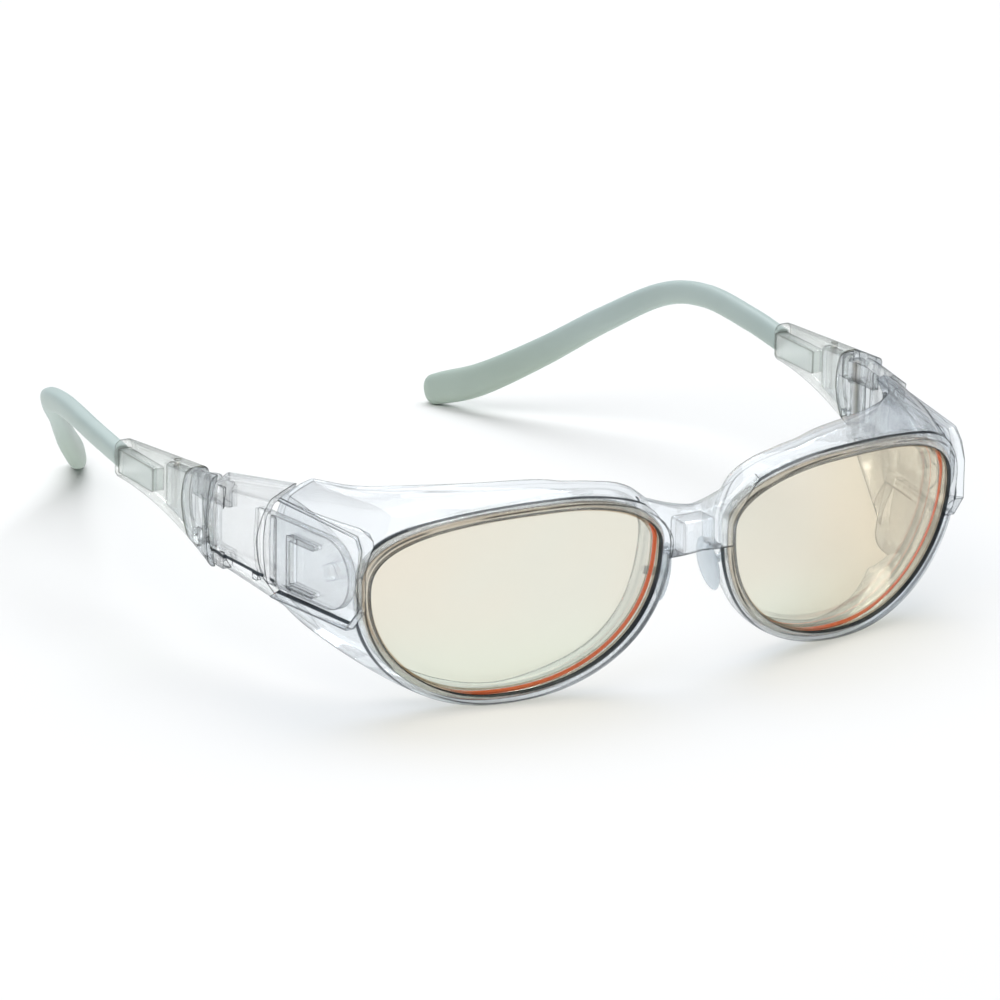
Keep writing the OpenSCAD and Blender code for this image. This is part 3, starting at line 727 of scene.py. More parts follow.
# ------------------------------- other materials -----------------------------
def soft_grey():
    """Satin elastomer: fine orange-peel, mild sheen, slight colour drift, and painted light that
    follows the way the surface faces.
    """
    m = new_material("soft_grey_elastomer")
    drift = m.noise(38.0, rough=0.55)
    colour = m.ramp(drift, [(0.32, (0.355, 0.418, 0.400)), (0.68, (0.395, 0.458, 0.438))])
    # painted light: the colour is brightened by the way the surface faces, more on the underside
    # than on top
    upward = m.fade(m.axes(m.geometry["Normal"])[2], start=-0.55, end=0.75)
    painted_light = m.blend(upward, (1.38, 1.41, 1.37), (1.24, 1.29, 1.33))
    colour = m.blend(1.0, colour, painted_light, how="MULTIPLY")
    # the ear hooks are a little darker and more olive
    hook = m.fade(m.axes(m.coords["Object"])[2], start=0.026, end=0.008)
    olive = m.blend(hook, (1.0, 1.0, 1.0), (0.90, 0.91, 0.84))
    colour = m.blend(1.0, colour, olive, how="MULTIPLY")
    peel = m.noise(1500.0, rough=0.6)
    cells = m.out("TexVoronoi", {"Scale": 2600.0, "Vector": m.coords["Object"]}, pick="Distance")
    bevel = m.out("Bevel", {"Radius": 0.0001}, samples=3)
    normal = m.bump(peel, strength=0.07, distance=0.0001, normal=bevel)
    normal = m.bump(cells, strength=0.04, distance=0.00005, normal=normal)
    return m.done(m.out("BsdfPrincipled", {
        "Base Color": colour, "Roughness": m.spread(peel, low=0.40, high=0.54),
        "Subsurface Weight": 0.18, "Subsurface Radius": (0.002, 0.0022, 0.0024),
        "Sheen Weight": 0.10, "Sheen Roughness": 0.45, "Specular IOR Level": 0.42,
        "Normal": normal}))


M_SOFT = soft_grey()
M_CORE = clear_plastic(
    "stiff_grey_core", low=(0.955, 0.98, 0.975), high=(0.97, 0.99, 0.985),
    shadow=(0.90, 0.93, 0.92), dark=(0.12, 0.14, 0.13), glass=0.15, rough=0.06, depth=0.45,
    haze=0.26, haze_colour=(0.93, 1.0, 0.985))


def steel():
    """Steel with fine lines drawn out along z."""
    m = new_material("drawn_steel")
    lines = m.noise(900.0, detail=4.0, rough=0.6, stretch=(1.0, 1.0, 0.04))
    blotches = m.noise(220.0, rough=0.6)
    return m.done(m.out("BsdfPrincipled", {
        "Base Color": m.ramp(blotches, [(0.3, (0.42, 0.41, 0.39)), (0.7, (0.60, 0.58, 0.55))]),
        "Metallic": 1.0, "Roughness": m.spread(lines, low=0.18, high=0.42),
        "Normal": m.bump(lines, strength=0.15, distance=0.00002)}))


M_STEEL = steel()


def amber_lens():
    """Pale amber polycarbonate with a coated gloss. Looking outwards across the edge, a painted
    glow, an orange line that gives off light, stands in for the thickness of the lens."""
    m = new_material("amber_lens")
    out = m.attribute("edge_u")
    x, _, z = m.axes(m.coords["Object"])
    tint = m.ramp(m.noise(26.0, detail=2.0), [(0.30, (0.900, 0.897, 0.842)),
                                              (0.50, (0.910, 0.892, 0.829)),
                                              (0.70, (0.918, 0.885, 0.815))])
    # greener towards the bottom
    tint = m.blend(m.fade(z, start=0.022, end=0.006), tint, (0.91, 0.925, 0.858))
    # warmer where the view comes across from the other side
    across = m.product(x, m.axes(m.geometry["Incoming"])[0])
    warm = m.fade(across, start=-0.009, end=-0.027, high=0.8)
    tint = m.blend(warm, tint, (0.945, 0.865, 0.730))
    # painted shade: a brown ring just inside the outline, next to the frame's lip
    ring = m.product(*m.window(out, rise=(-0.50, -0.32), fall=(0.10, -0.10)), 0.75)
    tint = m.blend(ring, tint, (0.45, 0.32, 0.18))
    body = m.coated(tint, ior=1.30, limit=0.35, rough=0.03, colour=(0.95, 0.97, 1.0))
    body = m.mix(0.04, body, m.scatter((0.82, 0.79, 0.70), "BsdfDiffuse", "BsdfTranslucent"))
    # painted glow: an orange line that gives off light where the view looks outwards across the edge
    facing = m.dot(m.geometry["Incoming"], m.attribute("edge_n", pick="Vector"))
    outwards = m.fade(facing, start=-0.10, end=-0.34)
    strip = m.product(*m.window(out, rise=(0.0, 0.20), fall=(1.25, 0.95)))
    orange = m.ramp(m.noise(60.0, detail=2.0), [(0.35, (0.62, 0.07, 0.01)),
                                                (0.65, (0.80, 0.17, 0.03))])
    painted_glow = m.out("BsdfPrincipled", {"Base Color": orange, "Roughness": 0.35,
                                   "Emission Strength": 0.45,
                                   "Emission Color": (0.85, 0.13, 0.02)})
    shader = m.mix(m.product(outwards, strip, 0.98), body, painted_glow)
    return m.done_clear(shader, shadow=(0.94, 0.91, 0.84))


M_LENS = amber_lens()


# ------------------------------- front frame ---------------------------------
def rim_section(angle):
    """Closed section of the rim: bead, outer wall, rear edge, inner wall, lens groove."""
    width = loop_at(RIM_WIDTH, angle / 30.0)
    rear = loop_at(REAR, angle / 15.0)
    away = np.array([rear[0], rear[2]]) - RIM_MIDDLE
    away = away / max(np.linalg.norm(away), 1e-3)
    outward = np.array([away[0], 0.0, away[1]])
    base = outline(np.array([angle]))[0]
    normal = outline_normal(np.array([angle]))[0]

    def at(out, back, inset=0.0):
        """Point `out` from the outline and `back` behind the inset front sphere."""
        p = base + out * normal
        return np.array([p[0], float(sphere_y(p, inset)) + back, p[1]])

    front = at(width, -0.5)
    inner_rear = rear - WALL * outward
    inner_front = at(0.35, 1.9, LENS_THICK)
    bulge = 0.35 + 1.1 * max(0.0, math.cos(math.radians(angle - 182))) ** 2
    wall_steps = [k / 14 for k in range(1, 14)]
    # lip corner, rounded, then the bead up to the foot of the wall
    points = [at(0.0, -0.75), at(0.015, -0.95)]
    for i in range(1, 5):
        for k in range(1, 6):
            if (i, k) != (4, 5):
                share, back = spline(*BEAD_PROFILE[i - 1:i + 3], k / 5.0)
                points.append(at(share * width, back))
    points.append(front)
    points += [front + (rear - front) * t + 4 * t * (1 - t) * bulge * outward
               for t in wall_steps]
    # rounded rear edge
    for k in range(7):
        t = k / 6.0
        ease = 0.5 - 0.5 * math.cos(math.pi * t)
        points.append(rear + (inner_rear - rear) * ease
                      + np.array([0, 0.42 * (math.sin(math.pi * t) - 1.0), 0]))
    points += [inner_rear + (inner_front - inner_rear) * t
               + 4 * t * (1 - t) * bulge * 0.8 * outward for t in wall_steps]
    groove = SEAT + 0.06
    points += [inner_front, at(0.06, 1.55, LENS_THICK), at(0.0, 1.2, LENS_THICK),
               at(0.0, 0.12, LENS_THICK), at(groove, 0.12, LENS_THICK), at(groove, -0.12),
               at(0.0, -0.12)]
    return np.array(points)


def build_seat():
    """Block on the side wall that carries the tilt joint."""
    # (rearward, up) in the side frame
    poly = [[-6.6, -9.2], [23, -9.2], [23, 10.4], [-8.4, 9.2], [-10.2, 6.8], [-10.2, -4.8]]
    seat = plate(round_poly(poly, [0, 0.7, 0.7, 0.7, 0.7, 0], 4), SEAT_BACK, 0.25, top=0.35)
    cut(seat, box([0, -30, 0], [10, 30, 20], lean_place), lens_prism(0.45, -100, -40))
    # keep clear of the lens and of everything in front of its rear sphere
    column = lens_prism(SEAT + 0.16, -100, -45)
    return cut(seat, cut(column, sphere_cap(LENS_R - LENS_THICK - 0.22)))


def pocket():
    """Recess in the seat, narrowing inwards."""
    rows = []
    # x, gap above and below, gap at the front
    for x, gap, front in ((3.0, 0.30, 0.30), (0.25, 0.30, 0.30), (-2.15, 0.92, 1.75)):
        poly = [[-6.6 + 0.6 * front, -9.2 + gap], [25.5, -9.2 + gap], [25.5, 10.5 - gap],
                [-8.4 + 0.6 * front, 9.2 - gap], [-10.2 + front, 6.8 - 0.3 * gap],
                [-10.2 + front, -4.8 + 0.3 * gap]]
        rows.append(yz_section(round_poly(poly, [0, 0.8, 0.8, 0.8, 0.8, 0], 4), x))
    return loft(side(np.array(rows)))


def build_bridge():
    """Saddle bridge, hollowed from below."""
    half = 13
    rows = []
    for i in range(41):
        x = -half + 2 * half * i / 40.0
        t = abs(x) / half
        top, bottom = 34.4 + 4.1 * t ** 1.5, 26.6 - 1.6 * t + 1.0 * t * t
        front, rear = -83.2 + 2.0 * t * t, -77.2 + 1.0 * t
        poly = [[rear, bottom], [rear, top + 0.2], [front, top],
                [front - 0.5, (top + bottom) / 2], [front, bottom]]
        rows.append(yz_section(round_poly(poly, [1.3, 1.3, 1.3, 6.0, 1.3], 5), x))
    hollow = plate(round_rect(-81.6, 20, -75.6, 32.2, 1.0, 4), -3.4, 3.4, top=0.5, bottom=0.5,
                   place=np.asarray)
    left = lens_prism(SEAT + 0.2, -100, -55)
    right = part(*mirrored(*take(lens_prism(SEAT + 0.2, -100, -55))))
    return cut(loft(rows), hollow, left, right)


def build_front():
    count = 300
    rim = loft([rim_section(i * 360.0 / count) for i in range(count)], closed=True)
    half = union(rim, build_seat())
    # seam with the adapter, concentric with the tilt axis, kept to the side
    beside = cut(box([52, -59, 2], [82, -19, 48]), tilt_disc(SEAM_FRONT_R))
    rivet_hole = cylinder(side([-10, 0, 0]), side([10, 0, 0]), 1.65, 48)
    pad_socket = cylinder(pad_place([0, 0, 0]), pad_place([2.4, 0, 0]), 0.82, 32)
    shape = take(cut(half, beside, pocket(), rivet_hole, pad_socket))
    whole = union(part(*shape), part(*mirrored(*shape)), build_bridge())
    # flat feet where the frame rests
    return take(cut(whole, box([-80, -90, TABLE_Z - 10], [80, -30, TABLE_Z])))


def mark_rim(mesh):
    """Stores each vertex's place on the rim: rim_u, out from the lens outline in mm; rim_k, the
    same as a share of the bead's width; rim_d, the depth behind the lens's front sphere."""
    verts = coordinates(mesh) * 1000.0 - HOME
    flat = np.column_stack([np.abs(verts[:, 0]), verts[:, 2]])
    angles = np.arange(720) * 0.5
    points, normals = outline(angles), outline_normal(angles)
    widths = np.array([loop_at(RIM_WIDTH, a / 30.0) for a in angles])
    out, share = np.zeros(len(flat)), np.zeros(len(flat))
    chunk = 4000
    for i in range(0, len(flat), chunk):
        offset = flat[i:i + chunk, None, :] - points[None]
        nearest = np.argmin((offset ** 2).sum(-1), axis=1)
        row = np.arange(len(nearest))
        out[i:i + chunk] = (offset[row, nearest] * normals[nearest]).sum(-1)
        share[i:i + chunk] = out[i:i + chunk] / widths[nearest]
    # the floor of 1 keeps the root real outside the sphere
    square = np.maximum(LENS_R ** 2 - (flat[:, 0] - SPHERE[0]) ** 2
                        - (flat[:, 1] - SPHERE[2]) ** 2, 1.0)
    depth = verts[:, 1] - (SPHERE[1] - np.sqrt(square))
    for name, values in (("rim_u", out), ("rim_k", share), ("rim_d", depth)):
        attribute = mesh.attributes.new(name, "FLOAT", "POINT")
        attribute.data.foreach_set("value", values.astype(np.float32))


# ---------------------------------- lens -------------------------------------
def build_lens():
    """Polar grid over the outline, spherical front and rear, banded edge. Returns the vertices
    and faces, and for each vertex its distance out from the outline and its outward direction."""
    count = 240
    rows = []
    inner = grown_outline(count, -0.6)
    for k in range(1, 22):
        t = k / 21.0
        rows.append((GRID_CENTRE + (inner - GRID_CENTRE) * t, -0.6 - (1 - t) * 20))
    for out in (-0.3, 0.0, 0.2, 0.3, 0.4, 0.6, 0.9, SEAT - 0.12):
        rows.append((grown_outline(count, out), out))
    verts = [xz_section(p, sphere_y(p)) for p, _ in rows]
    outs = [min(out, 0.0) for _, out in rows]
    edge = grown_outline(count, SEAT)
    for depth in (0.12, 0.6, 1.1, 1.6, LENS_THICK - 0.12):
        t = depth / LENS_THICK
        verts.append(xz_section(edge, sphere_y(edge) * (1 - t) + sphere_y(edge, LENS_THICK) * t))
        outs.append(SEAT)
    for p, out in rows[::-1]:
        verts.append(xz_section(p, sphere_y(p, LENS_THICK)))
        outs.append(out)
    n = len(verts)
    poles = [[GRID_CENTRE[0], float(sphere_y(GRID_CENTRE, inset)), GRID_CENTRE[1]]
             for inset in (0.0, LENS_THICK)]
    directions = xz_section(outline_normal(np.arange(count) * 360.0 / count), 0.0)
    faces = bands(n, count) + fan(n * count, 0, count, flip=True)
    faces += fan(n * count + 1, (n - 1) * count, count)
    return (np.concatenate(verts + [poles]), faces,
            np.concatenate([np.repeat(outs, count), [-20, -20]]),
            np.concatenate([np.tile(directions, (n, 1)), np.zeros((2, 3))]))


def put_lens(word, sign):
    verts, faces, outs, directions = build_lens()
    flip = np.array([sign, 1.0, 1.0])
    name = "lens_amber_" + word
    mesh = bpy.data.meshes.new(name)
    mesh.from_pydata([tuple(p) for p in (verts + HOME) * flip / 1000.0], [], faces)
    attribute = mesh.attributes.new("edge_u", "FLOAT", "POINT")
    attribute.data.foreach_set("value", outs.astype(np.float32))
    attribute = mesh.attributes.new("edge_n", "FLOAT_VECTOR", "POINT")
    attribute.data.foreach_set("vector", (directions * flip).astype(np.float32).ravel())
    bm = bmesh.new()
    bm.from_mesh(mesh)
    bmesh.ops.recalc_face_normals(bm, faces=bm.faces)
    finish(name, mesh, bm, M_LENS, "front", "lens_" + word, 30)


# ------------------------------ adapter --------------------------------------
def adapter_shell():
    """Thin outer cheek that blends from the front to the fold joint."""
    thick = 1.9
    y0, length = -50.2, 21.9
    # corner radii round the outer wall, then back along the inner wall
    radii = [0.25, 0.9, 0.55, 9.0, 0.6, 0.35, 0.3, 0.5, 9.0, 0.5, 0.8, 0.25]
    rows = []
    for i in range(25):
        t = i / 24.0
        outer = SHELL_FRONT * (1 - t) + SHELL_REAR * t
        centre = np.array([57, 28]) * (1 - t) + np.array([68.9, 28.5]) * t
        inner = np.array([p + thick * (centre - p) / np.linalg.norm(centre - p) for p in outer])
        poly = round_poly(np.concatenate([outer, inner[::-1]]), radii, 5)
        rows.append(xz_section(poly, y0 + length * t))
    bar_room = fold_cylinder(BAR_R + 0.2, BAR_Z[0] - BAR_GAP, BAR_Z[1] + BAR_GAP, 96)
    return cut(loft(rows), tilt_disc(SEAM_ADAPTER_R), beyond_adapter(),
               box([55, -28.6, 0], [69.6, -8.6, 60]), bar_room)


def adapter_lugs():
    """Parts of the two lugs that hold the fold pin, above and below the knuckle's bar."""
    x, y = FOLD
    parts = []
    for z0, z1 in ((LUG_Z[0], BAR_Z[0] - BAR_GAP), (BAR_Z[1] + BAR_GAP, LUG_Z[1])):
        parts.append(fold_cylinder(BAR_R, z0, z1, 72, edge=0.2))
        parts.append(box([x - 1.1, y - 7.2, z0], [x + 1.2, y - 0.2, z1]))
        outer = box([x - 1.1, y - 7.2, z0], [x + 1.9, y - 1.2, z1])
        parts.append(cut(outer, beyond_adapter()))
    return parts


def build_adapter():
    shell = adapter_shell()
    # tongue: round nose, two long sides
    tongue_end = 20.4
    nose = [(NOSE_R * math.cos(t), NOSE_R * math.sin(t))
            for t in np.radians(np.linspace(90, 270, 49))]
    tongue = plate(np.array(nose + [(tongue_end, -NOSE_R), (tongue_end, NOSE_R)]),
                   -2.05, -0.25, top=0.28, bottom=0.12)
    # upright rail that steps the tongue up to the shell, and the root behind it
    rail = plate(round_rect(14.6, -6.7, 16.3, 6.7, 0.4), -1.2, 0.22, top=0.45)
    root = plate(round_rect(18.7, -6.6, tongue_end, 6.6, 0.3), -1.6, 0.9)
    adapter = union(shell, tongue, rail, root, *adapter_lugs())
    # slots through the tongue: (rearward, up, length, height)
    slots = [plate(round_rect(y, z, y + dy, z + dz, 0.3), -6, 2)
             for y, z, dy, dz in ((3.4, 3.2, 8.2, 0.9), (3.8, -6.1, 7.6, 0.9),
                                  (10.8, -6.1, 0.8, 10.2))]
    return take(cut(adapter, union(*slots), fold_cylinder(0.8, 10, 50, 40)))


# ------------------------------ knuckle and sleeve ---------------------------
def sleeve_section(y, gap=0.0):
    """Rounded section of the sleeve at y, drawn in by `gap`."""
    t = (y + 24) / 28.6
    x0, x1 = 70.2 + 1.5 * t, 74.6 + 1.3 * t
    z0, z1 = 22.0 + 5.5 * (1 - max(1 - t, 0.0) ** 2), 37.2 - 2.3 * t
    return xz_section(round_rect(x0 + gap, z0 + gap, x1 - gap, z1 - gap,
                                 max(0.4, 1.5 - 0.5 * gap), 6), y)


def sleeve_run(y, length, steps, gap=0.0):
    return [sleeve_section(y + length * i / steps, gap) for i in range(steps + 1)]


def build_knuckle():
    x, y = FOLD
    band = intersect(loft(sleeve_run(-30.5, 11, 12)), crosswise_cylinder(10.92))
    keep_rear = box([60, -22.6, 15], [80, -12.6, 45])
    keep_outer = cut(box([x + 1.45, -32, 15], [x + 7.45, -20, 45]),
                     tilt_disc(ADAPTER_REACH + 0.3))
    intersect(band, union(keep_rear, keep_outer))
    bar = fold_cylinder(BAR_R, *BAR_Z, 72, edge=0.2)
    web = box([x - 1.1, y, BAR_Z[0] + 1.7], [x + 1.5, y + 4.5, BAR_Z[1]])
    spigot = loft(sleeve_run(-22.4, 9.0, 12, gap=1.08))
    knuckle = union(band, bar, web, spigot)
    lug_room = BAR_R + 0.35
    return take(cut(knuckle, fold_cylinder(lug_room, LUG_Z[0] - 6, BAR_Z[0], 72),
                    fold_cylinder(lug_room, BAR_Z[1], LUG_Z[1] + 6, 72),
                    fold_cylinder(0.85, 10, 50, 40), lock_hole()))


def build_sleeve():
    rows = sleeve_run(-25.5, 28.95, 40)
    # rounded rear end
    rows += [sleeve_section(y, gap) for y, gap in ((3.68, 0.06), (3.88, 0.2), (4.0, 0.5))]
    tongue_slot = plate(round_rect(-9.1, 28.28, 11.1, 32.92, 0.35),
                        TONGUE_X - 1.22, TONGUE_X + 1.22, place=np.asarray)
    return take(cut(loft(rows), crosswise_cylinder(11.07),
                    loft(sleeve_run(-26.65, 13.5, 14, gap=0.98)), tongue_slot, lock_hole()))


# --------------------------------- temple ------------------------------------
def smooth_half(stations, sizes):
    """Half of a size along the arm, as a function smoothed over its stations."""
    xs = np.linspace(0, 7, 141)
    ys = 0.5 * np.interp(xs, stations, sizes)
    kernel = np.hanning(21)
    kernel /= kernel.sum()
    padded = np.concatenate([np.full(10, ys[0]), ys, 2 * ys[-1] - ys[-2:-12:-1]])
    smoothed = np.convolve(padded, kernel, "valid")
    return lambda s: float(np.interp(s, xs, smoothed))


half_height = smooth_half((0, 3, 4.5, 6, 6.6, 7), (4.7, 4.7, 5.4, 6.6, 6.9, 6.3))
half_thick = smooth_half((0, 3, 6, 7), (3.5, 3.5, 4.0, 3.7))


def arm_direction(s):
    d = line_at(ARM, min(s + 0.05, ARM_END)) - line_at(ARM, max(s - 0.05, 0))
    return d / np.linalg.norm(d)


def arm_ring(s, height, thick, shift=0.0, around=56, power=2.6):
    """Superellipse of half sizes height and thick round the arm at station s."""
    along = arm_direction(s)
    lean = np.array([0.25, 0, 1.0])
    up = lean - (lean @ along) * along
    up = up / np.linalg.norm(up)
    inward = np.cross(up, along)
    centre = line_at(ARM, s) + shift * along
    th = circle(around)
    ex = np.sign(np.cos(th)) * np.abs(np.cos(th)) ** (2 / power)
    ez = np.sign(np.sin(th)) * np.abs(np.sin(th)) ** (2 / power)
    return centre + thick * ex[:, None] * inward + height * ez[:, None] * up


def build_temple():
    n, m = 170, 56
    # small rounded shoulder where it leaves the sleeve: (shift, scale)
    rows = [arm_ring(0.0, half_height(0) * scale, half_thick(0) * scale, shift)
            for shift, scale in ((0.0, 0.90), (0.10, 0.965), (0.28, 1.0))]
    for i in range(2, n + 1):
        s = 7.0 * i / n
        rows.append(arm_ring(s, half_height(s), half_thick(s)))
    # rounded tip
    height, thick = half_height(ARM_END), half_thick(ARM_END)
    for degrees in (12, 24, 36, 48, 58, 68, 77, 84):
        t = math.radians(degrees)
        rows.append(arm_ring(ARM_END, height * math.cos(t) ** 0.9, thick * math.cos(t) ** 0.9,
                             2.6 * math.sin(t)))
    # blind bore for the core
    n_bore = 90
    bore = [arm_ring(CORE_END * i / n_bore, 0.86, 0.86, power=2.0) for i in range(n_bore + 1)]
    n_out, n_in = len(rows), len(bore)
    verts = np.concatenate([np.array(rows).reshape(-1, 3),
                            [line_at(ARM, ARM_END) + 2.62 * arm_direction(ARM_END)],
                            np.array(bore).reshape(-1, 3),
                            [line_at(ARM, CORE_END) + 0.3 * arm_direction(CORE_END)]])
    tip = n_out * m
    first = tip + 1
    end = first + n_in * m
    faces = bands(n_out, m) + fan(tip, tip - m, m)
    faces += [(a, d, c, b) for a, b, c, d in bands(n_in, m, start=first)]
    faces += fan(end, end - m, m, flip=True)
    # ring face between the outside and the bore
    faces += [(j, first + j, first + (j + 1) % m, (j + 1) % m) for j in range(m)]
    return take(part(verts, faces))


def build_core():
    """Flat tongue in the sleeve and a round rod down the temple."""
    tongue = plate(round_rect(-9.0, 28.3, 3.72, 32.9, 0.4, 4), TONGUE_X - 1.2, TONGUE_X + 1.2,
                   top=0.2, bottom=0.2, place=np.asarray)
    radius, around = 0.8, 24
    th = circle(around)
    start = np.column_stack([ARM[0][0] - radius * np.cos(th), np.full(around, 2.5),
                             ARM[0][2] + radius * np.sin(th)])
    rod = loft([start] + [arm_ring(5.18 * i / 100.0, radius, radius, 0, around, 2.0)
                          for i in range(101)])
    return take(union(tongue, rod))


# ------------------------------ small parts ----------------------------------
def build_pad():
    rows = []
    n, around = 36, 40
    th = circle(around)
    # cushion side a little fuller than the frame side
    full = np.where(np.cos(th) < 0, 0.95, 0.75)
    for i in range(n + 1):
        t = -math.cos(math.pi * i / n) * 0.9985
        r = math.sqrt(max(0.0015, 1 - t * t))
        rows.append(pad_place(np.column_stack([
            -1.5 + full * r * np.cos(th) * (0.55 + 0.45 * r), -2.7 * r * np.sin(th) + 0.3 * t,
            np.full(around, 5.5 * t)])))
    stem = cylinder(pad_place([-1.6, 0, 0]), pad_place([2.0, 0, 0]), 0.8, 32, edge=0.12)
    collar = cylinder(pad_place([-0.95, 0, 0]), pad_place([-0.3, 0, 0]), 1.35, 40, edge=0.25)
    return take(union(loft(rows), stem, collar))


# Turned profiles: (along, radius)
RIVET_PROFILE = [
    (0.0, 0.9), (0.05, 1.9), (0.18, 2.5), (0.4, 2.9), (0.65, 3.05), (0.95, 3.1), (1.12, 3.02),
    (1.15, 2.9), (1.15, 1.6), (4.75, 1.6), (4.88, 1.52), (4.95, 1.38), (4.95, 0.7), (4.75, 0.45)]
FOLD_PIN_PROFILE = [
    (0.0, 0.45), (0.06, 0.64), (0.2, 0.76), (0.34, 0.8), (1.3, 0.8), (1.34, 0.77), (1.44, 0.77),
    (1.48, 0.8), (13.7, 0.8), (13.74, 0.77), (13.84, 0.77), (13.88, 0.8), (14.86, 0.8),
    (15.0, 0.76), (15.14, 0.64), (15.2, 0.45)]
LOCK_PIN_PROFILE = [
    (0.0, 0.3), (0.06, 0.46), (0.2, 0.57), (0.34, 0.6), (8.5, 0.6), (8.76, 0.57), (8.92, 0.45),
    (9.0, 0.25)]
UP = np.array([0.0, 0.0, 1.0])


def build_rivet():
    """Rivet on the tilt axis, its head inside the seat."""
    axis = side([1, 0, 0]) - side([0, 0, 0])
    return take(lathe(RIVET_PROFILE, side([SEAT_BACK - 1.25, 0, 0]), axis))


def build_fold_pin():
    return take(lathe(FOLD_PIN_PROFILE, [*FOLD, LUG_Z[0] + 0.3], UP, 40))


def build_lock_pin():
    return take(lathe(LOCK_PIN_PROFILE, [*LOCK_XY, 27], UP, 40))


# ------------------------------- assembly ------------------------------------
front = put("front_clear", build_front(), 1, M_FRAME, "front", "front_frame", 28)
mark_rim(front.data)

# name, shape, material, body, piece replaced, slot, smooth-shading angle; {} is the side
SIDE_PIECES = [
    ("nose_pad_soft_{}", build_pad(), M_PAD, "front", "nose_pad_{}", "pad_silicone", 40),
    ("tilt_rivet_turned_{}", build_rivet(), M_RIVET, "adapter_{}", "tilt_rivet_{}",
     "rivet_clear", 35),
    ("adapter_clear_{}", build_adapter(), M_ADAPTER, "adapter_{}", "hinge_adapter_{}",
     "frame_clear", 28),
    ("fold_pin_turned_{}", build_fold_pin(), M_STEEL, "adapter_{}", "fold_pin_{}",
     "pin_steel", 35),
    ("knuckle_clear_{}", build_knuckle(), M_KNUCKLE, "temple_{}", "hinge_knuckle_{}",
     "frame_clear", 28),
    ("lock_pin_turned_{}", build_lock_pin(), M_STEEL, "temple_{}", "sleeve_lock_pin_{}",
     "pin_steel", 35),
    ("sleeve_smoky_{}", build_sleeve(), M_SLEEVE, "temple_{}", "temple_sleeve_{}",
     "sleeve_smoke", 28),
    ("core_grey_{}", build_core(), M_CORE, "temple_{}", "temple_core_{}", "core_grey", 30),
    ("temple_soft_{}", build_temple(), M_SOFT, "temple_{}", "temple_tip_{}", "temple_soft", 40)]
for sign, word in ((-1, "right"), (1, "left")):
    put_lens(word, sign)
    for name, shape, material, body, node, slot, angle in SIDE_PIECES:
        put(name.format(word), shape, sign, material, body.format(word), node.format(word),
            angle)


# --------------------------------- stage -------------------------------------
def floor_material():
    m = new_material("pale_floor")
    colour = m.ramp(m.noise(3.0, detail=2.0), [(0.3, (0.86, 0.865, 0.87)),
                                               (0.7, (0.88, 0.885, 0.89))])
    matt = m.out("BsdfPrincipled", {"Base Color": colour, "Roughness": 0.75,
                                    "Specular IOR Level": 0.15})
    # far out the floor runs into the pale backdrop, so no horizon shows
    distance = m.vector("LENGTH", m.coords["Object"], pick="Value")
    far = m.product(m.fade(distance, start=0.28, end=0.80),
                    m.out("LightPath", pick="Is Camera Ray"))
    return m.done(m.mix(far, matt, m.out("Emission", {"Color": (1.0, 1.0, 1.0)})))


def build_floor(size=6.0, n=24, z=-0.00005):
    bm = bmesh.new()
    grid = [[bm.verts.new((size * (i / n - 0.5), size * (j / n - 0.5), z)) for j in range(n + 1)]
            for i in range(n + 1)]
    for i in range(n):
        for j in range(n):
            bm.faces.new((grid[i][j], grid[i + 1][j], grid[i + 1][j + 1], grid[i][j + 1]))
    mesh = bpy.data.meshes.new("floor")
    bm.to_mesh(mesh)
    bm.free()
    o = bpy.data.objects.new("floor", mesh)
    bpy.context.scene.collection.objects.link(o)
    mesh.materials.append(floor_material())


def softbox(name, place, size, power, colour):
    """Rectangular area light aimed at the origin."""
    light = bpy.data.lights.new(name, "AREA")
    light.shape = "RECTANGLE"
    light.size, light.size_y = size
    light.energy = power
    light.color = colour
    o = bpy.data.objects.new(name, light)
    bpy.context.scene.collection.objects.link(o)
    o.location = place
    o.rotation_mode = "QUATERNION"
    o.rotation_quaternion = (-Vector(place)).to_track_quat("-Z", "Y")


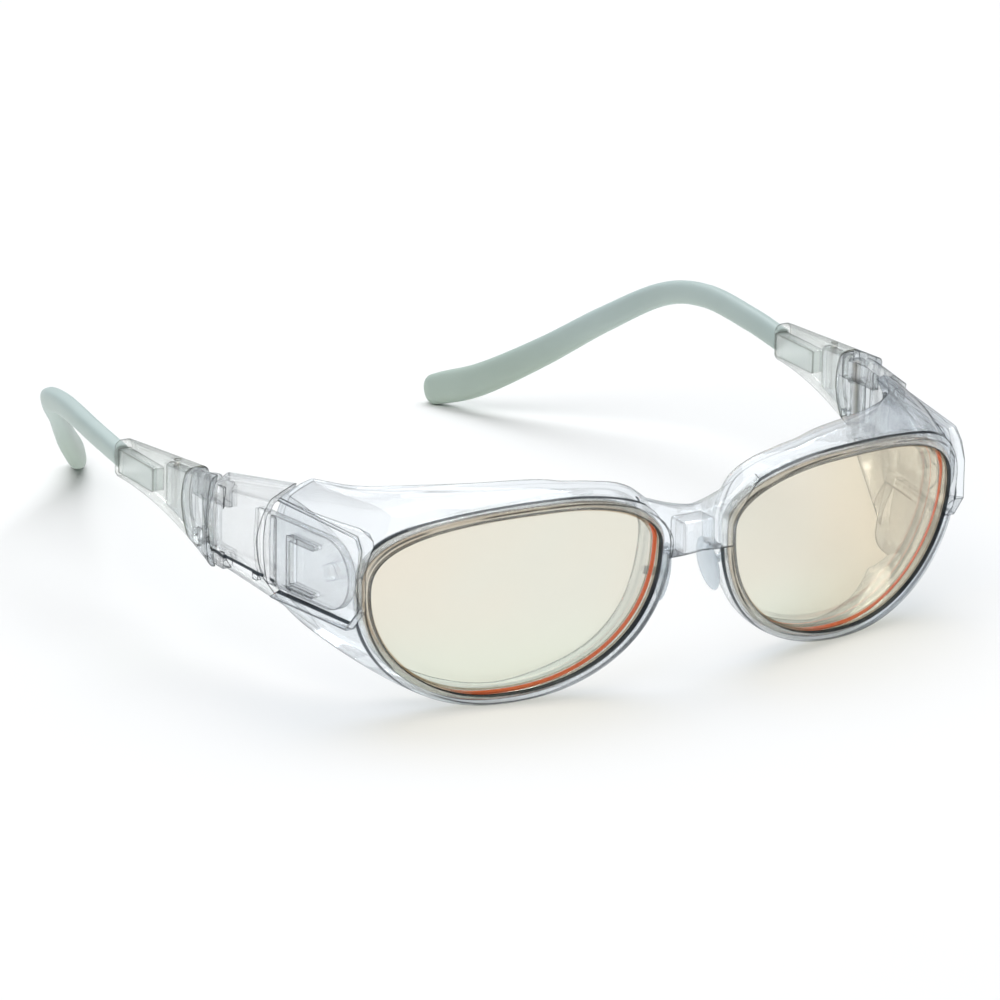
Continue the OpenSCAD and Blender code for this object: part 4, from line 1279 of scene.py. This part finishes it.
def build_world():
    """Pale studio to the camera; a banded sky lights the glasses and shows in reflections."""
    world = bpy.data.worlds.new("studio")
    bpy.context.scene.world = world
    w = Graph(world, "OutputWorld")
    direction = w.coords["Generated"]
    height = w.out("MapRange", {"Value": w.axes(direction)[2], "From Min": -1.0,
                                "From Max": 1.0})
    # from straight down (0) to straight up (1), with a dark band above the horizon
    sky = w.ramp(height, [
        (0.0, (0.94, 0.95, 0.95)), (0.49, (0.94, 0.95, 0.95)), (0.52, (0.50, 0.53, 0.55)),
        (0.56, (0.10, 0.115, 0.13)), (0.62, (0.06, 0.07, 0.08)), (0.67, (0.68, 0.71, 0.73)),
        (0.73, (1.02, 1.02, 1.02)), (1.0, (1.1, 1.1, 1.1))])
    # the side the camera stands on is kept dark, so clear edges read as dark lines
    camera_side = w.dot(direction, (-0.4936, -0.8063, 0.326))
    sky = w.blend(1.0, sky, w.fade(camera_side, start=-0.15, end=0.45, low=1.0, high=0.22),
                  how="MULTIPLY")
    lighting = w.out("Background", {"Color": sky, "Strength": 0.62})
    backdrop = w.out("Background", {"Color": (1.0, 1.0, 1.0), "Strength": 1.0})
    w.done(w.mix(w.out("LightPath", pick="Is Camera Ray"), lighting, backdrop))


def build_camera():
    place = (np.array([-755.452, -1244.970, 513.824]) + HOME) / 1000.0
    azimuth, elevation, roll = (math.radians(a) for a in (-31.4755, 19.0258, 0.8206))
    back = Vector((math.sin(azimuth) * math.cos(elevation),
                   -math.cos(azimuth) * math.cos(elevation), math.sin(elevation)))
    level = Vector((math.cos(azimuth), math.sin(azimuth), 0.0))
    upright = level.cross(-back)
    right = math.cos(roll) * level + math.sin(roll) * upright
    up = -math.sin(roll) * level + math.cos(roll) * upright
    data = bpy.data.cameras.new("camera")
    data.lens, data.sensor_width = 288.0, 36.0
    data.clip_start, data.clip_end = 0.05, 50.0
    camera = bpy.data.objects.new("camera", data)
    bpy.context.scene.collection.objects.link(camera)
    rows = [(right[i], up[i], back[i], place[i]) for i in range(3)]
    camera.matrix_world = Matrix((*rows, (0, 0, 0, 1)))
    bpy.context.scene.camera = camera


build_floor()
softbox("key_softbox", place=(-0.9, -0.5, 1.5), size=(1.2, 1.2), power=15.0,
        colour=(1.0, 0.995, 0.985))
softbox("top_softbox", place=(0.5, 0.6, 1.7), size=(1.6, 1.2), power=24.5,
        colour=(0.97, 0.985, 1.0))
build_world()
build_camera()

scene = bpy.context.scene
scene.view_settings.view_transform = "Standard"
scene.view_settings.look = "None"
scene.view_settings.exposure = 0.0
scene.cycles.caustics_refractive = False
scene.cycles.caustics_reflective = False
scene.cycles.max_bounces = 16
scene.cycles.transmission_bounces = 14
scene.cycles.transparent_max_bounces = 24
